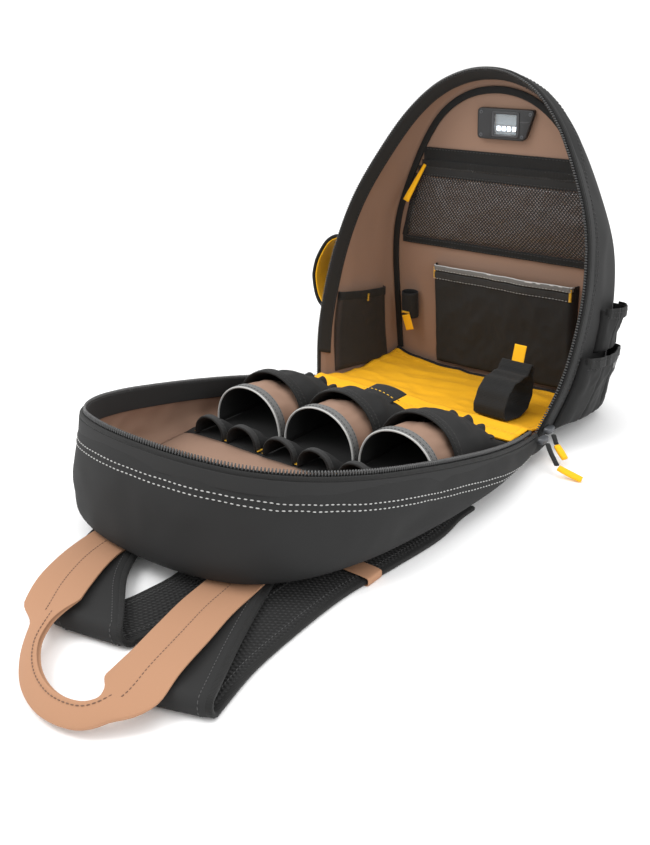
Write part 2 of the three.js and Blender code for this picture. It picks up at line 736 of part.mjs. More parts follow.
// A point on an arched pocket's outer face: angle goes from its right foot over the top
function onPocket(pocket, y, angle, depth) {
  const size = pocketSize(pocket, (pocket.mouthY - y) / (pocket.mouthY - pocket.footY));
  return new THREE.Vector3(
    pocket.centre + (size.half - depth) * Math.cos(angle),
    y,
    POCKET_FOOT + (size.height - depth) * Math.sin(angle) ** 0.8,
  );
}

// An arched pocket lying on the board, its mouth towards the handle
function archPocket(pocket) {
  return loft(POCKET_SECTIONS.map((s) => {
    const y = lerp(pocket.mouthY, pocket.footY, s.along);
    const arc = (depth) => Array.from({ length: pocket.steps + 1 }, (unused, i) => (
      onPocket(pocket, y, Math.PI * (i / pocket.steps), depth)));
    return [...arc(0), ...arc(POCKET_WALL).reverse()];
  }));
}

// The black pocket of a column
function blackPocket(column) {
  return {
    centre: (column - 1) * COLUMN_PITCH,
    width: COLUMN_PITCH - COLUMN_GAP,
    height: BLACK_HEIGHT,
    mouthY: BLACK_MOUTH_Y,
    footY: BLACK_FOOT_Y,
    steps: 12,
  };
}

// The tan pocket of a column fits inside its black one
function tanPocket(column) {
  const outer = blackPocket(column);
  return {
    ...outer,
    width: outer.width - 2 * (POCKET_WALL + POCKET_CLEARANCE),
    height: TAN_HEIGHT,
    mouthY: TAN_MOUTH_Y,
    footY: TAN_FOOT_Y,
  };
}

function buildToolPockets() {
  for (let column = 0; column < 3; column += 1) {
    addPiece(bag, `tan_pocket_${column + 1}`, archPocket(tanPocket(column)), 'tan');
    addPiece(bag, `black_pocket_${column + 1}`, archPocket(blackPocket(column)), 'black');
    [-0.5, 0.5].forEach((place, i) => {
      addPiece(bag, `small_pocket_${column * 2 + i + 1}`, archPocket({
        centre: blackPocket(column).centre + place * SMALL_PITCH,
        width: SMALL_WIDTH,
        height: SMALL_HEIGHT,
        mouthY: SMALL_MOUTH_Y,
        footY: SMALL_FOOT_Y,
        steps: 8,
      }), 'black');
    });
  }
}

// A strip lying over a black pocket's back, with loops that rise from it
function saddleStrip(column, { y, width, fromAngle, toAngle, loops, rise, thickness }) {
  const pocket = blackPocket(column);
  const steps = Math.max(6, loops * 8);
  const stations = Array.from({ length: steps + 1 }, (unused, i) => {
    const angle = lerp(fromAngle, toAngle, i / steps) * DEG;
    const at = onPocket(pocket, y, angle, 0);
    const side = onPocket(pocket, y + width / 2, angle, 0)
      .sub(onPocket(pocket, y - width / 2, angle, 0)).normalize();
    const turned = onPocket(pocket, y, angle - 2 * DEG, 0);
    const out = turned.sub(at).cross(side).normalize();
    if (out.z < 0) out.negate();
    const lift = rise * (1 - Math.cos((2 * Math.PI * loops * i) / steps)) / 2;
    at.addScaledVector(out, POCKET_CLEARANCE + thickness / 2 + lift);
    return { at, side, width, thickness };
  });
  return band(stations);
}

function buildPocketTrim() {
  const elastic = {
    y: ELASTIC_Y,
    width: ELASTIC_WIDTH,
    fromAngle: 150,
    toAngle: 24,
    loops: ELASTIC_LOOPS,
    rise: ELASTIC_RISE,
    thickness: ELASTIC_THICKNESS,
  };
  addPiece(bag, 'elastic_loops_left', saddleStrip(0, elastic), 'black');
  addPiece(bag, 'elastic_loops_right', saddleStrip(2, elastic), 'black');
  const tab = {
    ...elastic,
    y: HINGE_TAB_Y,
    width: HINGE_TAB_WIDTH,
    fromAngle: 108,
    toAngle: 58,
    loops: 0,
    rise: 0,
  };
  addPiece(bag, 'hinge_tab', saddleStrip(1, tab), 'black');
}

// The work light near the top of the lining, its right side slanting in at the foot
function buildLight() {
  const round = 5;
  const top = LIGHT_HEIGHT / 2;
  const wide = LIGHT_WIDTH / 2;
  const footRight = wide - LIGHT_SLANT;
  const face = new THREE.Shape();
  face.moveTo(-wide + round, -top);
  face.lineTo(footRight - round, -top);
  face.quadraticCurveTo(footRight, -top, footRight + 1, -top + round);
  face.lineTo(wide - 1, top - round);
  face.quadraticCurveTo(wide, top, wide - round, top);
  face.lineTo(-wide + round, top);
  face.quadraticCurveTo(-wide, top, -wide, top - round);
  face.lineTo(-wide, -top + round);
  face.quadraticCurveTo(-wide, -top, -wide + round, -top);
  const window = new THREE.Path();
  const [w, h] = [WINDOW_WIDTH / 2, WINDOW_HEIGHT / 2];
  [[-w, h], [w, h], [w, -h], [-w, -h]].forEach(([x, y], i) => {
    if (i === 0) window.moveTo(x, y);
    else window.lineTo(x, y);
  });
  window.closePath();
  face.holes.push(window);
  const housing = new THREE.ExtrudeGeometry(face, {
    depth: LIGHT_THICKNESS,
    bevelEnabled: false,
    curveSegments: 4,
  });
  housing.rotateX(Math.PI / 2);
  seatOnLining(addPiece(frontHalf, 'light_housing', housing, 'plastic'), LIGHT_X, LIGHT_UP, GAP);
  const lens = new THREE.BoxGeometry(WINDOW_WIDTH - 2 * GAP, LENS_THICKNESS, WINDOW_HEIGHT - 2 * GAP);
  lens.translate(0, -LENS_THICKNESS / 2, 0);
  seatOnLining(addPiece(frontHalf, 'light_lens', lens, 'lens'), LIGHT_X, LIGHT_UP, GAP);
}

// A strip up the lining: each row has its height, half width and lift
function liningStrip(rows, thickness) {
  return band(rows.map((row) => ({
    at: onLining(0, row.up, row.lift + thickness / 2),
    side: ACROSS,
    width: 2 * row.half,
    thickness,
  })));
}

// The zipped net pocket: its zip band, net, hem and pull
function buildNetPocket() {
  const bandTop = NET_TOP_UP + NET_BAND_HEIGHT;
  addPiece(frontHalf, 'net_zip_band', liningStrip([
    { up: NET_TOP_UP, half: NET_TOP_HALF_WIDTH, lift: GAP },
    { up: bandTop, half: NET_BAND_HALF_WIDTH, lift: GAP },
  ], NET_BAND_THICKNESS), 'zip');
  addPiece(frontHalf, 'net_hem', liningStrip([
    { up: NET_BOTTOM_UP - NET_HEM_HEIGHT, half: NET_BOTTOM_HALF_WIDTH, lift: GAP },
    { up: NET_BOTTOM_UP, half: NET_BOTTOM_HALF_WIDTH, lift: GAP },
  ], NET_BAND_THICKNESS), 'black');
  const steps = 8;
  const rows = Array.from({ length: steps + 1 }, (unused, i) => ({
    up: lerp(NET_BOTTOM_UP + GAP, NET_TOP_UP - GAP, i / steps),
    half: lerp(NET_BOTTOM_HALF_WIDTH, NET_TOP_HALF_WIDTH, i / steps),
    lift: GAP + NET_STANDOFF * Math.sin(Math.PI * (i / steps)) ** 0.7,
  }));
  addPiece(frontHalf, 'net_panel', liningStrip(rows, NET_THICKNESS), 'net');
  const pullLift = 2 * GAP + NET_BAND_THICKNESS + GRIP_TAB_THICKNESS / 2;
  const pull = [
    { x: -NET_TOP_HALF_WIDTH + 14, up: NET_TOP_UP + 14, width: PULL_WIDTH },
    { x: -NET_TOP_HALF_WIDTH + 4, up: NET_TOP_UP - 8, width: GRIP_TAB_WIDTH },
    { x: -NET_TOP_HALF_WIDTH - 8, up: NET_TOP_UP - 34, width: GRIP_TAB_WIDTH },
  ].map((p, i) => ({
    at: onLining(p.x, p.up, pullLift + i * NET_STANDOFF),
    side: ACROSS,
    width: p.width,
    thickness: GRIP_TAB_THICKNESS,
  }));
  addPiece(frontHalf, 'net_zip_pull', band(pull), 'yellow');
}

// The document pocket, open at its top
function buildDocumentPocket() {
  const width = DOCUMENT_RIGHT_X - DOCUMENT_LEFT_X;
  const levels = [0, 0.5, 1];
  const ring = (level, inward) => {
    const depth = lerp(DOCUMENT_DEPTH * 0.5, DOCUMENT_DEPTH, level);
    const up = lerp(DOCUMENT_BOTTOM_UP + inward, DOCUMENT_TOP_UP, level);
    return inset(roundedSlot(width, depth, OUTER_POCKET_WALL + SEAT), inward)
      .map((p) => onLining(p.x + (DOCUMENT_LEFT_X + DOCUMENT_RIGHT_X) / 2, up, GAP + p.y));
  };
  const outside = levels.map((v) => ring(v, 0));
  const inside = levels.map((v) => ring(v, OUTER_POCKET_WALL)).reverse();
  addPiece(frontHalf, 'document_pocket', loft([...outside, ...inside]), 'black');
}

// The black binding where the lining meets the side wall
function buildLiningBinding() {
  const outer = inset(frontShell.panel, SHELL_WALL + FRONT_WALL_SECTIONS[0].tuck + SEAT);
  const inner = inset(outer, LINING_BINDING_WIDTH);
  const low = SHELL_WALL + GAP;
  const high = low + LINING_BINDING_THICKNESS;
  const loops = [];
  for (let i = 1; i < ARCH_STEPS; i += 1) {
    loops.push([
      frontShell.placePanel(outer[i], low),
      frontShell.placePanel(inner[i], low),
      frontShell.placePanel(inner[i], high),
      frontShell.placePanel(outer[i], high),
    ]);
  }
  addPiece(frontHalf, 'lining_binding', loft(loops), 'black');
}

// The small webbing loop with its tab, in the left corner of the lining
function buildPenLoop() {
  const steps = 12;
  const stations = Array.from({ length: steps }, (unused, i) => {
    const a = (i / steps) * 2 * Math.PI;
    const lift = GAP + PEN_LOOP_RADIUS + WEB_THICKNESS / 2 + PEN_LOOP_RADIUS * Math.sin(a);
    return {
      at: onLining(PEN_LOOP_X + PEN_LOOP_RADIUS * 1.2 * Math.cos(a), PEN_LOOP_UP, lift),
      side: UP_LINING,
      width: PEN_LOOP_HEIGHT,
      thickness: WEB_THICKNESS,
    };
  });
  addPiece(frontHalf, 'pen_loop', band(stations, true), 'black');
  const lift = 2 * GAP + 2 * PEN_LOOP_RADIUS + WEB_THICKNESS + TAB_THICKNESS / 2;
  const top = PEN_LOOP_UP - PEN_LOOP_HEIGHT / 2 + 6;
  const tab = [0, 1].map((share) => ({
    at: onLining(PEN_LOOP_X + share * 7, top - share * TAB_LENGTH, lift),
    side: ACROSS,
    width: TAB_WIDTH * 0.8,
    thickness: TAB_THICKNESS,
  }));
  addPiece(frontHalf, 'pen_loop_tab', band(tab), 'yellow');
}

// The holding strap that stands on the floor as a loop, with a tab at its top
function buildHoldingStrap() {
  const floorTop = SHELL_WALL + 2 * GAP + FLOOR_THICKNESS + SEAT + HOLDING_STRAP_THICKNESS / 2;
  const place = (back, up) => new THREE.Vector3(
    0,
    back * HOLDING_STRAP_REACH,
    floorTop + up * HOLDING_STRAP_HEIGHT,
  );
  const loop = band(HOLDING_STRAP_LINE.map((p) => ({
    at: place(p.back, p.up),
    side: ACROSS,
    width: HOLDING_STRAP_WIDTH,
    thickness: HOLDING_STRAP_THICKNESS,
  })), true);
  const crest = place(HOLDING_TAB_BACK, 1).z + HOLDING_STRAP_THICKNESS / 2 + GAP;
  const tab = band([0, 1].map((share) => ({
    at: new THREE.Vector3(
      0,
      HOLDING_STRAP_REACH * HOLDING_TAB_BACK + share * HOLDING_TAB_LEAN,
      crest + share * TAB_LENGTH,
    ),
    side: ACROSS,
    width: TAB_WIDTH,
    thickness: TAB_THICKNESS,
  })));
  [[loop, 'holding_strap', 'black'], [tab, 'holding_strap_tab', 'yellow']].forEach(
    ([geometry, name, finish]) => {
      geometry.rotateZ(HOLDING_STRAP_TURN * DEG);
      geometry.translate(HOLDING_STRAP_X, HOLDING_STRAP_Y, 0);
      addPiece(frontHalf, name, geometry, finish);
    },
  );
}

// Pockets on the side walls of the standing half
function buildSidePockets() {
  const lowerTop = LOWER_POCKET_UP + LOWER_POCKET_HEIGHT;
  const pockets = [
    {
      name: 'side_net_pocket', finish: 'net', sign: -1, face: -1, from: 0.17, to: 0.84,
      low: SHELL_WALL + FLOOR_THICKNESS + 2 * SEAT, high: SIDE_NET_TOP,
      footDepth: SIDE_NET_DEPTH * 0.7, mouthDepth: SIDE_NET_DEPTH, wall: NET_THICKNESS,
    },
    {
      name: 'tool_pocket_lower', finish: 'black', sign: 1, face: 1, from: 0.16, to: 0.9,
      low: LOWER_POCKET_UP, high: lowerTop,
      footDepth: LOWER_POCKET_DEPTH * 0.5, mouthDepth: LOWER_POCKET_DEPTH, wall: OUTER_POCKET_WALL,
    },
    {
      name: 'tool_pocket_upper', finish: 'black', sign: 1, face: 1, from: 0.42, to: 0.92,
      low: lowerTop + GAP, high: lowerTop + UPPER_POCKET_HEIGHT,
      footDepth: UPPER_POCKET_DEPTH * 0.6, mouthDepth: UPPER_POCKET_DEPTH, wall: OUTER_POCKET_WALL,
    },
  ];
  pockets.forEach((p) => addPiece(frontHalf, p.name, wallPocket(p), p.finish));
  const lower = pockets[1];
  const length = onWallPocket(lower, 0, LABEL_UP, 0).distanceTo(onWallPocket(lower, 1, LABEL_UP, 0));
  const half = LABEL_WIDTH / length / 2;
  const label = [SEAT, SEAT + LABEL_THICKNESS].map((lift) => [[-1, -1], [1, -1], [1, 1], [-1, 1]].map(
    ([along, up]) => onWallPocket(
      lower,
      LABEL_ALONG + along * half,
      LABEL_UP + (up * LABEL_HEIGHT) / 2,
      lift,
    )));
  addPiece(frontHalf, 'tool_pocket_label', loft(label), 'grey');
}

// The arched sleeve on the left wall, and the lining that shows in it
function buildSleeve() {
  const steps = 10;
  const layer = (name, stand, height, thickness, finish) => {
    const stations = Array.from({ length: steps + 1 }, (unused, i) => {
      const a = (i / steps) * Math.PI;
      const p = onSideWall(-1, 0.25, SLEEVE_UP - (height / 2) * Math.cos(a), 0);
      p.x -= POCKET_SEAT + thickness / 2 + stand * Math.sin(a);
      return { at: p, side: new THREE.Vector3(0, 1, 0), width: SLEEVE_LENGTH, thickness };
    });
    addPiece(frontHalf, name, band(stations), finish);
  };
  const inner = SLEEVE_THICKNESS + SLEEVE_LINING_THICKNESS + SEAT;
  layer('left_sleeve', SLEEVE_BULGE, SLEEVE_HEIGHT, SLEEVE_THICKNESS, 'black');
  const [bulge, height] = [SLEEVE_BULGE - inner, SLEEVE_HEIGHT - 2 * inner];
  layer('left_sleeve_lining', bulge, height, SLEEVE_LINING_THICKNESS, 'yellow');
}

// Zip sliders at the hinge corner, each with a cord pull and a grip
function buildZipPulls() {
  const run = (points, width, thickness) => band(points.map((p) => ({
    at: new THREE.Vector3(p.x, p.y, p.height),
    side: new THREE.Vector3(0.5, 0.86, 0),
    width,
    thickness,
  })));
  PULL_LINES.forEach((pull, i) => {
    const slider = new THREE.BoxGeometry(SLIDER_WIDTH, SLIDER_LENGTH, SLIDER_HEIGHT);
    const place = SLIDER_PLACES[i];
    addPiece(bag, `zip_slider_${i + 1}`, slider, 'metal').position.set(place.x, place.y, place.height);
    addPiece(bag, `zip_pull_${i + 1}`, run(pull.cord, PULL_WIDTH, PULL_THICKNESS), 'zip');
    addPiece(bag, `zip_grip_${i + 1}`, run(pull.grip, GRIP_TAB_WIDTH, GRIP_TAB_THICKNESS), 'yellow');
  });
}

// A point of the harness, from shares of the back panel's half width and length
function onHarness(p) {
  return { ...p, x: p.x * BACK_PANEL_HALF_WIDTH, y: p.y * BACK_PANEL_LENGTH };
}

// Path of a strap: its upper run, the fold, and its lower run on the floor.
// The fold turns over a level line that halves the angle between the two runs.
function strapPath(strap) {
  const upper = strap.upper.map(onHarness);
  const lower = strap.lower.map(onHarness);
  const rise = (share) => lerp(HIGH_STRAP, STRAP_FOLD_HEIGHT, clamp(share * 2.2 - 1.2, 0, 1));
  const count = upper.length - 1;
  const over = new THREE.CatmullRomCurve3(upper.map((p, i) => (
    new THREE.Vector3(p.x, p.y, rise(i / count))))).getPoints(OVER_STATIONS);
  const end = over[over.length - 1];
  const going = end.clone().sub(over[over.length - 2]).setZ(0).normalize();
  const coming = new THREE.Vector3(lower[1].x - end.x, lower[1].y - end.y, 0).normalize();
  const crease = going.clone().add(coming).normalize();
  const drift = going.dot(crease);
  const away = going.clone().addScaledVector(crease, -drift).normalize();
  const radius = (end.z - LOW_STRAP) / 2;
  const turn = (share) => end.clone()
    .addScaledVector(crease, drift * radius * share * Math.PI)
    .addScaledVector(away, radius * Math.sin(share * Math.PI))
    .setZ(LOW_STRAP + radius + radius * Math.cos(share * Math.PI));
  const fold = Array.from({ length: FOLD_STEPS - 1 }, (_, i) => turn((i + 1) / FOLD_STEPS));
  const low = lower.map((p) => new THREE.Vector3(p.x, p.y, LOW_STRAP));
  low[0] = turn(1);
  const under = new THREE.CatmullRomCurve3(low).getPoints(UNDER_STATIONS);
  const slant = going.clone().cross(crease).length();
  return { path: [...over, ...fold, ...under], crease, slant, first: over.length - 1 };
}

// Stations of a strap: square to its path on the runs, along the crease at the fold
function strapStations({ path, crease, slant, first }, width, thickness) {
  return path.map((at, i) => {
    const before = path[Math.max(i - 1, 0)];
    const after = path[Math.min(i + 1, path.length - 1)];
    const square = new THREE.Vector3(before.y - after.y, after.x - before.x, 0).normalize();
    if (square.dot(crease) < 0) square.negate();
    const beyond = Math.max(first - i, i - first - FOLD_STEPS, 0);
    const skew = clamp(1 - beyond / 2, 0, 1);
    const side = square.clone().lerp(crease, skew).normalize();
    const across = skew < 1 ? side.dot(square) : slant;
    return { at, side, width: width / across, thickness, skewed: skew > 0 };
  });
}

// A shoulder strap, its adjuster and the webbing that joins it to the bag's foot
function buildStrap(strap) {
  const path = strapPath(strap);
  const solid = band(strapStations(path, STRAP_WIDTH, STRAP_THICKNESS));
  addPiece(bag, `shoulder_strap_${strap.name}`, solid, 'black');
  const end = onHarness(strap.lower[strap.lower.length - 1]);
  const x = end.x + strap.sign * ADJUSTER_OFFSET;
  const adjuster = new THREE.BoxGeometry(ADJUSTER_WIDTH, ADJUSTER_LENGTH, ADJUSTER_THICKNESS);
  addPiece(bag, `strap_adjuster_${strap.name}`, adjuster, 'plastic')
    .position.set(x, end.y + ADJUSTER_LENGTH / 2 + 2 * SEAT, ADJUSTER_THICKNESS / 2);
  const start = end.y + ADJUSTER_LENGTH + 3 * SEAT;
  const finish = -HINGE_HEIGHT;
  const web = [
    { share: 0, height: ADJUSTER_THICKNESS / 2 },
    { share: 0.35, height: ADJUSTER_THICKNESS / 2 },
    { share: 0.75, height: BACK_PANEL_HEIGHT * 0.6 },
    { share: 1, height: BACK_PANEL_HEIGHT - SEAT - WEB_THICKNESS },
  ].map((p) => ({
    at: new THREE.Vector3(x, lerp(start, finish, p.share), p.height),
    side: ACROSS,
    width: LOWER_WEB_WIDTH,
    thickness: WEB_THICKNESS,
  }));
  addPiece(bag, `strap_webbing_${strap.name}`, band(web), 'black');
}

// The haul handle: two flat legs that gather into a folded grip
function buildHandle() {
  const points = HANDLE_LINE.map(onHarness).map((p) => (
    new THREE.Vector3(p.x, p.y, HANDLE_UNDER + p.lift * HANDLE_RISE)));
  const stations = HANDLE_LINE.map((p, i) => {
    const before = points[Math.max(i - 1, 0)];
    const after = points[Math.min(i + 1, points.length - 1)];
    const along = after.clone().sub(before).normalize();
    const side = new THREE.Vector3(-along.y, along.x, 0).normalize();
    side.applyAxisAngle(along, p.roll * DEG);
    return {
      at: points[i],
      side,
      width: lerp(HANDLE_WIDTH, GRIP_WIDTH, p.gather),
      thickness: lerp(HANDLE_THICKNESS, GRIP_THICKNESS, p.gather),
    };
  });
  addPiece(bag, 'haul_handle', band(stations), 'webbing');
}

// A pad under the back panel, which the bag lies on
function buildPad(name, width, length, y) {
  const levels = [
    { share: 0, tuck: 1 },
    { share: 0.2, tuck: 0.25 },
    { share: 0.5, tuck: 0 },
    { share: 0.8, tuck: 0.25 },
    { share: 1, tuck: 1 },
  ];
  const height = BACK_PANEL_HEIGHT - GAP;
  const geometry = loft(levels.map((level) => (
    inset(roundedSlot(width, length, PAD_ROUNDING * 3), level.tuck * PAD_ROUNDING)
      .map((p) => new THREE.Vector3(p.x, p.y - length / 2 + y, level.share * height)))));
  addPiece(bag, name, geometry, 'net');
}

// The tan patch sewn round the right shoulder strap's outer edge
function buildStrapPatch() {
  const height = STRAP_THICKNESS + SEAT + STRAP_PATCH_THICKNESS / 2;
  const [before, after] = RIGHT_STRAP.lower.slice(3, 5).map(onHarness);
  const y = (before.y + after.y) / 2;
  const x = (before.x + after.x) / 2;
  const patch = [y - STRAP_PATCH_LENGTH / 2, y + STRAP_PATCH_LENGTH / 2].map((place) => ({
    at: new THREE.Vector3(x, place, height),
    side: ACROSS,
    width: STRAP_WIDTH,
    thickness: STRAP_PATCH_THICKNESS,
  }));
  addPiece(bag, 'strap_patch', band(patch), 'webbing');
}

frontHalf.position.set(0, GAP, BASE_UNDERSIDE);
frontHalf.rotation.x = -BASE_SLOPE;
frontHalf.updateMatrix();
bag.add(frontHalf);

buildShells();
buildFront();
buildFloor();
buildPocketBoard();
buildToolPockets();
buildPocketTrim();
buildLight();
buildNetPocket();
buildDocumentPocket();
buildLiningBinding();
buildPenLoop();
buildHoldingStrap();
buildSidePockets();
buildSleeve();
buildZipPulls();
buildStrap(LEFT_STRAP);
buildStrap(RIGHT_STRAP);
buildStrapPatch();
buildHandle();
buildPad('back_pad', BACK_PAD_WIDTH, BACK_PAD_LENGTH, BACK_PAD_Y);
buildPad('lumbar_pad', LUMBAR_PAD_WIDTH, LUMBAR_PAD_LENGTH, LUMBAR_PAD_Y);

// The origin goes under the middle of the whole bag
const box = new THREE.Box3().setFromObject(bag, true);
bag.position.set(-(box.min.x + box.max.x) / 2, -(box.min.y + box.max.y) / 2, -box.min.z);

export default bag;
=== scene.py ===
"""The looks of a tool backpack opened out like a book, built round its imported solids."""
import logging
import math
from dataclasses import dataclass, replace
from enum import Enum
from typing import Callable, Optional, Sequence

import bpy
import numpy as np
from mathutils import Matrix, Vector, noise


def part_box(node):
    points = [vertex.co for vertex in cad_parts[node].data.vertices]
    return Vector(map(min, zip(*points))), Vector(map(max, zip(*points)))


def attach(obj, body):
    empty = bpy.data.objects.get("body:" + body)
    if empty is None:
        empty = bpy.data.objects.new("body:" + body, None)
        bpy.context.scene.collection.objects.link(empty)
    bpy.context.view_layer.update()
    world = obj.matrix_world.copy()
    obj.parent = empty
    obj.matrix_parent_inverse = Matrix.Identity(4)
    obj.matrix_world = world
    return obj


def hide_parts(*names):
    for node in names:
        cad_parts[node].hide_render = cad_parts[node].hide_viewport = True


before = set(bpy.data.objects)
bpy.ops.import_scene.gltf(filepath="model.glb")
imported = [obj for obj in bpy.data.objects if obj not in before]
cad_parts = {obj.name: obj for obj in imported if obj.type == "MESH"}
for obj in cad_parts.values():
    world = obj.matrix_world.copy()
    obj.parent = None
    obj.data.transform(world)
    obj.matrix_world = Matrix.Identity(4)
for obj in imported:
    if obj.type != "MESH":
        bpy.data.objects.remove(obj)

LOG = logging.getLogger("tool_backpack")
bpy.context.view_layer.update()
MM = 0.001
DEG = math.pi / 180
Grid = np.ndarray
Piece = bpy.types.Object
Socket = bpy.types.NodeSocket
Table = Sequence[tuple[float, ...]]


# Geometry


def row_origin() -> np.ndarray:
    """Place of the bag's hinge line on the floor, in metres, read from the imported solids."""
    low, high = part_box("rear_shell")
    return np.array([(low.x + high.x) / 2, high.y, 0.0])


ORIGIN = row_origin()


def metres(points: Grid) -> Grid:
    """Turns points in the bag's own millimetres into metres in the part's frame.

    Args:
        points: Points from the middle of the hinge line, in millimetres.

    Returns:
        The same points in metres.
    """
    return ORIGIN + np.asarray(points, float) * MM


def unit(vectors: Grid) -> Grid:
    """Vectors of length one along the last axis."""
    length = np.linalg.norm(vectors, axis=-1, keepdims=True)
    return vectors / np.maximum(length, 1e-9)


def smooth(points: Grid, steps: int, ring: bool = False) -> Grid:
    """A centripetal Catmull-Rom curve through points.

    Args:
        points: Points along the first axis.
        steps: Pieces in each span.
        ring: Whether the last point joins the first.

    Returns:
        The points along the curve, the given ones among them.
    """
    p = np.asarray(points, float)
    if ring:
        ends = np.concatenate([p[-1:], p, p[:2]])
    else:
        ends = np.concatenate([2 * p[:1] - p[1:2], p, 2 * p[-1:] - p[-2:-1]])
    flat = ends.reshape(len(ends), -1)
    gaps = np.maximum(np.sum(np.diff(flat, axis=0) ** 2, axis=1) ** 0.25, 1e-6)
    out = []
    for k in range(len(p) if ring else len(p) - 1):
        x0, x1, x2, x3 = ends[k:k + 4]
        d0, d1, d2 = gaps[k:k + 3]
        t1 = ((x1 - x0) / d0 - (x2 - x0) / (d0 + d1) + (x2 - x1) / d1) * d1
        t2 = ((x2 - x1) / d1 - (x3 - x1) / (d1 + d2) + (x3 - x2) / d2) * d1
        for t in np.arange(steps) / steps:
            c2 = -3 * x1 + 3 * x2 - 2 * t1 - t2
            c3 = 2 * x1 - 2 * x2 + t1 + t2
            out.append(x1 + t1 * t + c2 * t * t + c3 * t ** 3)
    if not ring:
        out.append(p[-1])
    return np.array(out)


def even(points: Grid, count: int) -> Grid:
    """Points at equal distances along a line of points."""
    far = np.concatenate([[0], np.cumsum(np.linalg.norm(np.diff(points, axis=0), axis=1))])
    at = np.linspace(0, far[-1], count)
    return np.stack([np.interp(at, far, points[:, k]) for k in range(points.shape[1])], -1)


def inset(outline: Grid, distance: float) -> Grid:
    """A closed flat outline moved inwards, mitred at its corners."""
    before = unit(outline - np.roll(outline, 1, 0))
    after = unit(np.roll(outline, -1, 0) - outline)
    a = np.stack([-before[:, 1], before[:, 0]], -1)
    b = np.stack([-after[:, 1], after[:, 0]], -1)
    share = distance / (1 + np.sum(a * b, -1, keepdims=True))
    return outline + (a + b) * share


def normals_of(grid: Grid, ring: bool) -> Grid:
    """Unit normals of a grid of points, rows by columns."""
    down = np.gradient(grid, axis=0)
    if ring:
        across = np.roll(grid, -1, 1) - np.roll(grid, 1, 1)
    else:
        across = np.gradient(grid, axis=1)
    return unit(np.cross(across, down))


NOISE_REACH = 2.2


@dataclass(frozen=True)
class Folds:
    """Soft folds and dents in a cloth surface.

    Sizes are in metres: depth is the greatest fold, and size is the distance between folds along
    each axis of the part.
    """

    depth: float
    size: tuple[float, float, float]
    seed: float = 0.0
    sharp: float = 0.0

    def at(self, points: Grid) -> Grid:
        """Depth of the folds at each point."""
        flat = points.reshape(-1, 3) / np.array(self.size) + self.seed * 7.31
        out = np.empty(len(flat))
        for i, p in enumerate(flat):
            v = Vector(p)
            soft = noise.noise(v) + 0.45 * noise.noise(v * 2.1)
            ridge = 1 - 2 * abs(noise.noise(v * 1.3 + Vector((5, 9, 2))))
            out[i] = soft * (1 - self.sharp) + ridge * self.sharp
        return self.depth * NOISE_REACH * out.reshape(points.shape[:-1])


def layered(grid: Grid, *layers: Folds) -> Grid:
    """Depth of several folds together at each point."""
    return sum(layer.at(grid) for layer in layers)


def mesh_object(name: str, points: Grid, faces: Sequence[Sequence[int]],
                uvs: Optional[Grid]) -> Piece:
    """A smooth shaded mesh object from points, faces and a place on the cloth for each point.

    Args:
        name: The piece's name.
        points: Points in metres.
        faces: Corners of each face.
        uvs: Place of each face corner on the cloth, in metres, or None.

    Returns:
        The object, linked to the scene.
    """
    mesh = bpy.data.meshes.new(name)
    mesh.from_pydata(np.asarray(points).reshape(-1, 3).tolist(), [], [list(f) for f in faces])
    if uvs is not None:
        layer = mesh.uv_layers.new(name="Cloth")
        layer.data.foreach_set("uv", np.asarray(uvs, float).reshape(-1))
    mesh.polygons.foreach_set("use_smooth", [True] * len(mesh.polygons))
    mesh.update()
    made = bpy.data.objects.new(name, mesh)
    bpy.context.scene.collection.objects.link(made)
    return made


def grid_object(name: str, grid: Grid, ring: bool = False, pole: bool = False) -> Piece:
    """An open sheet over a grid of points in metres.

    Args:
        name: The piece's name.
        grid: Points, rows by columns.
        ring: Whether the last column joins the first.
        pole: Whether the last row closes to its middle.

    Returns:
        The sheet's object.
    """
    rows, cols = grid.shape[:2]
    wide = grid[np.argmax([np.linalg.norm(np.diff(r, axis=0), axis=1).sum() for r in grid])]
    u = np.concatenate([[0], np.cumsum(np.linalg.norm(np.diff(wide, axis=0), axis=1))])
    u = np.append(u, u[-1] + np.linalg.norm(wide[0] - wide[-1]))
    step = np.linalg.norm(np.diff(grid, axis=0), axis=2).mean(1) if rows > 1 else np.zeros(0)
    v = np.concatenate([[0], np.cumsum(step)])
    faces, uvs = [], []
    spans = cols if ring else cols - 1
    for r in range(rows - 1):
        for c in range(spans):
            d = (c + 1) % cols
            faces.append((r * cols + c, r * cols + d, (r + 1) * cols + d, (r + 1) * cols + c))
            uvs += [(u[c], v[r]), (u[c + 1], v[r]), (u[c + 1], v[r + 1]), (u[c], v[r + 1])]
    points = grid.reshape(-1, 3)
    if pole:
        middle = grid[-1].mean(0)
        points = np.concatenate([points, [middle]])
        last = (rows - 1) * cols
        end = v[-1] + np.linalg.norm(grid[-1] - middle, axis=1).mean()
        for c in range(spans):
            d = (c + 1) % cols
            faces.append((last + c, last + d, len(points) - 1))
            uvs += [(u[c], v[-1]), (u[c + 1], v[-1]), ((u[c] + u[c + 1]) / 2, end)]
    return mesh_object(name, points, faces, np.array(uvs))


def thicken(piece: Piece, thickness: float, second: bool = False) -> Piece:
    """Gives a sheet its thickness, its own second material on the back if asked."""
    wall = piece.modifiers.new("wall", "SOLIDIFY")
    wall.thickness = thickness
    wall.offset = 0
    if second:
        wall.material_offset = 1
    return piece


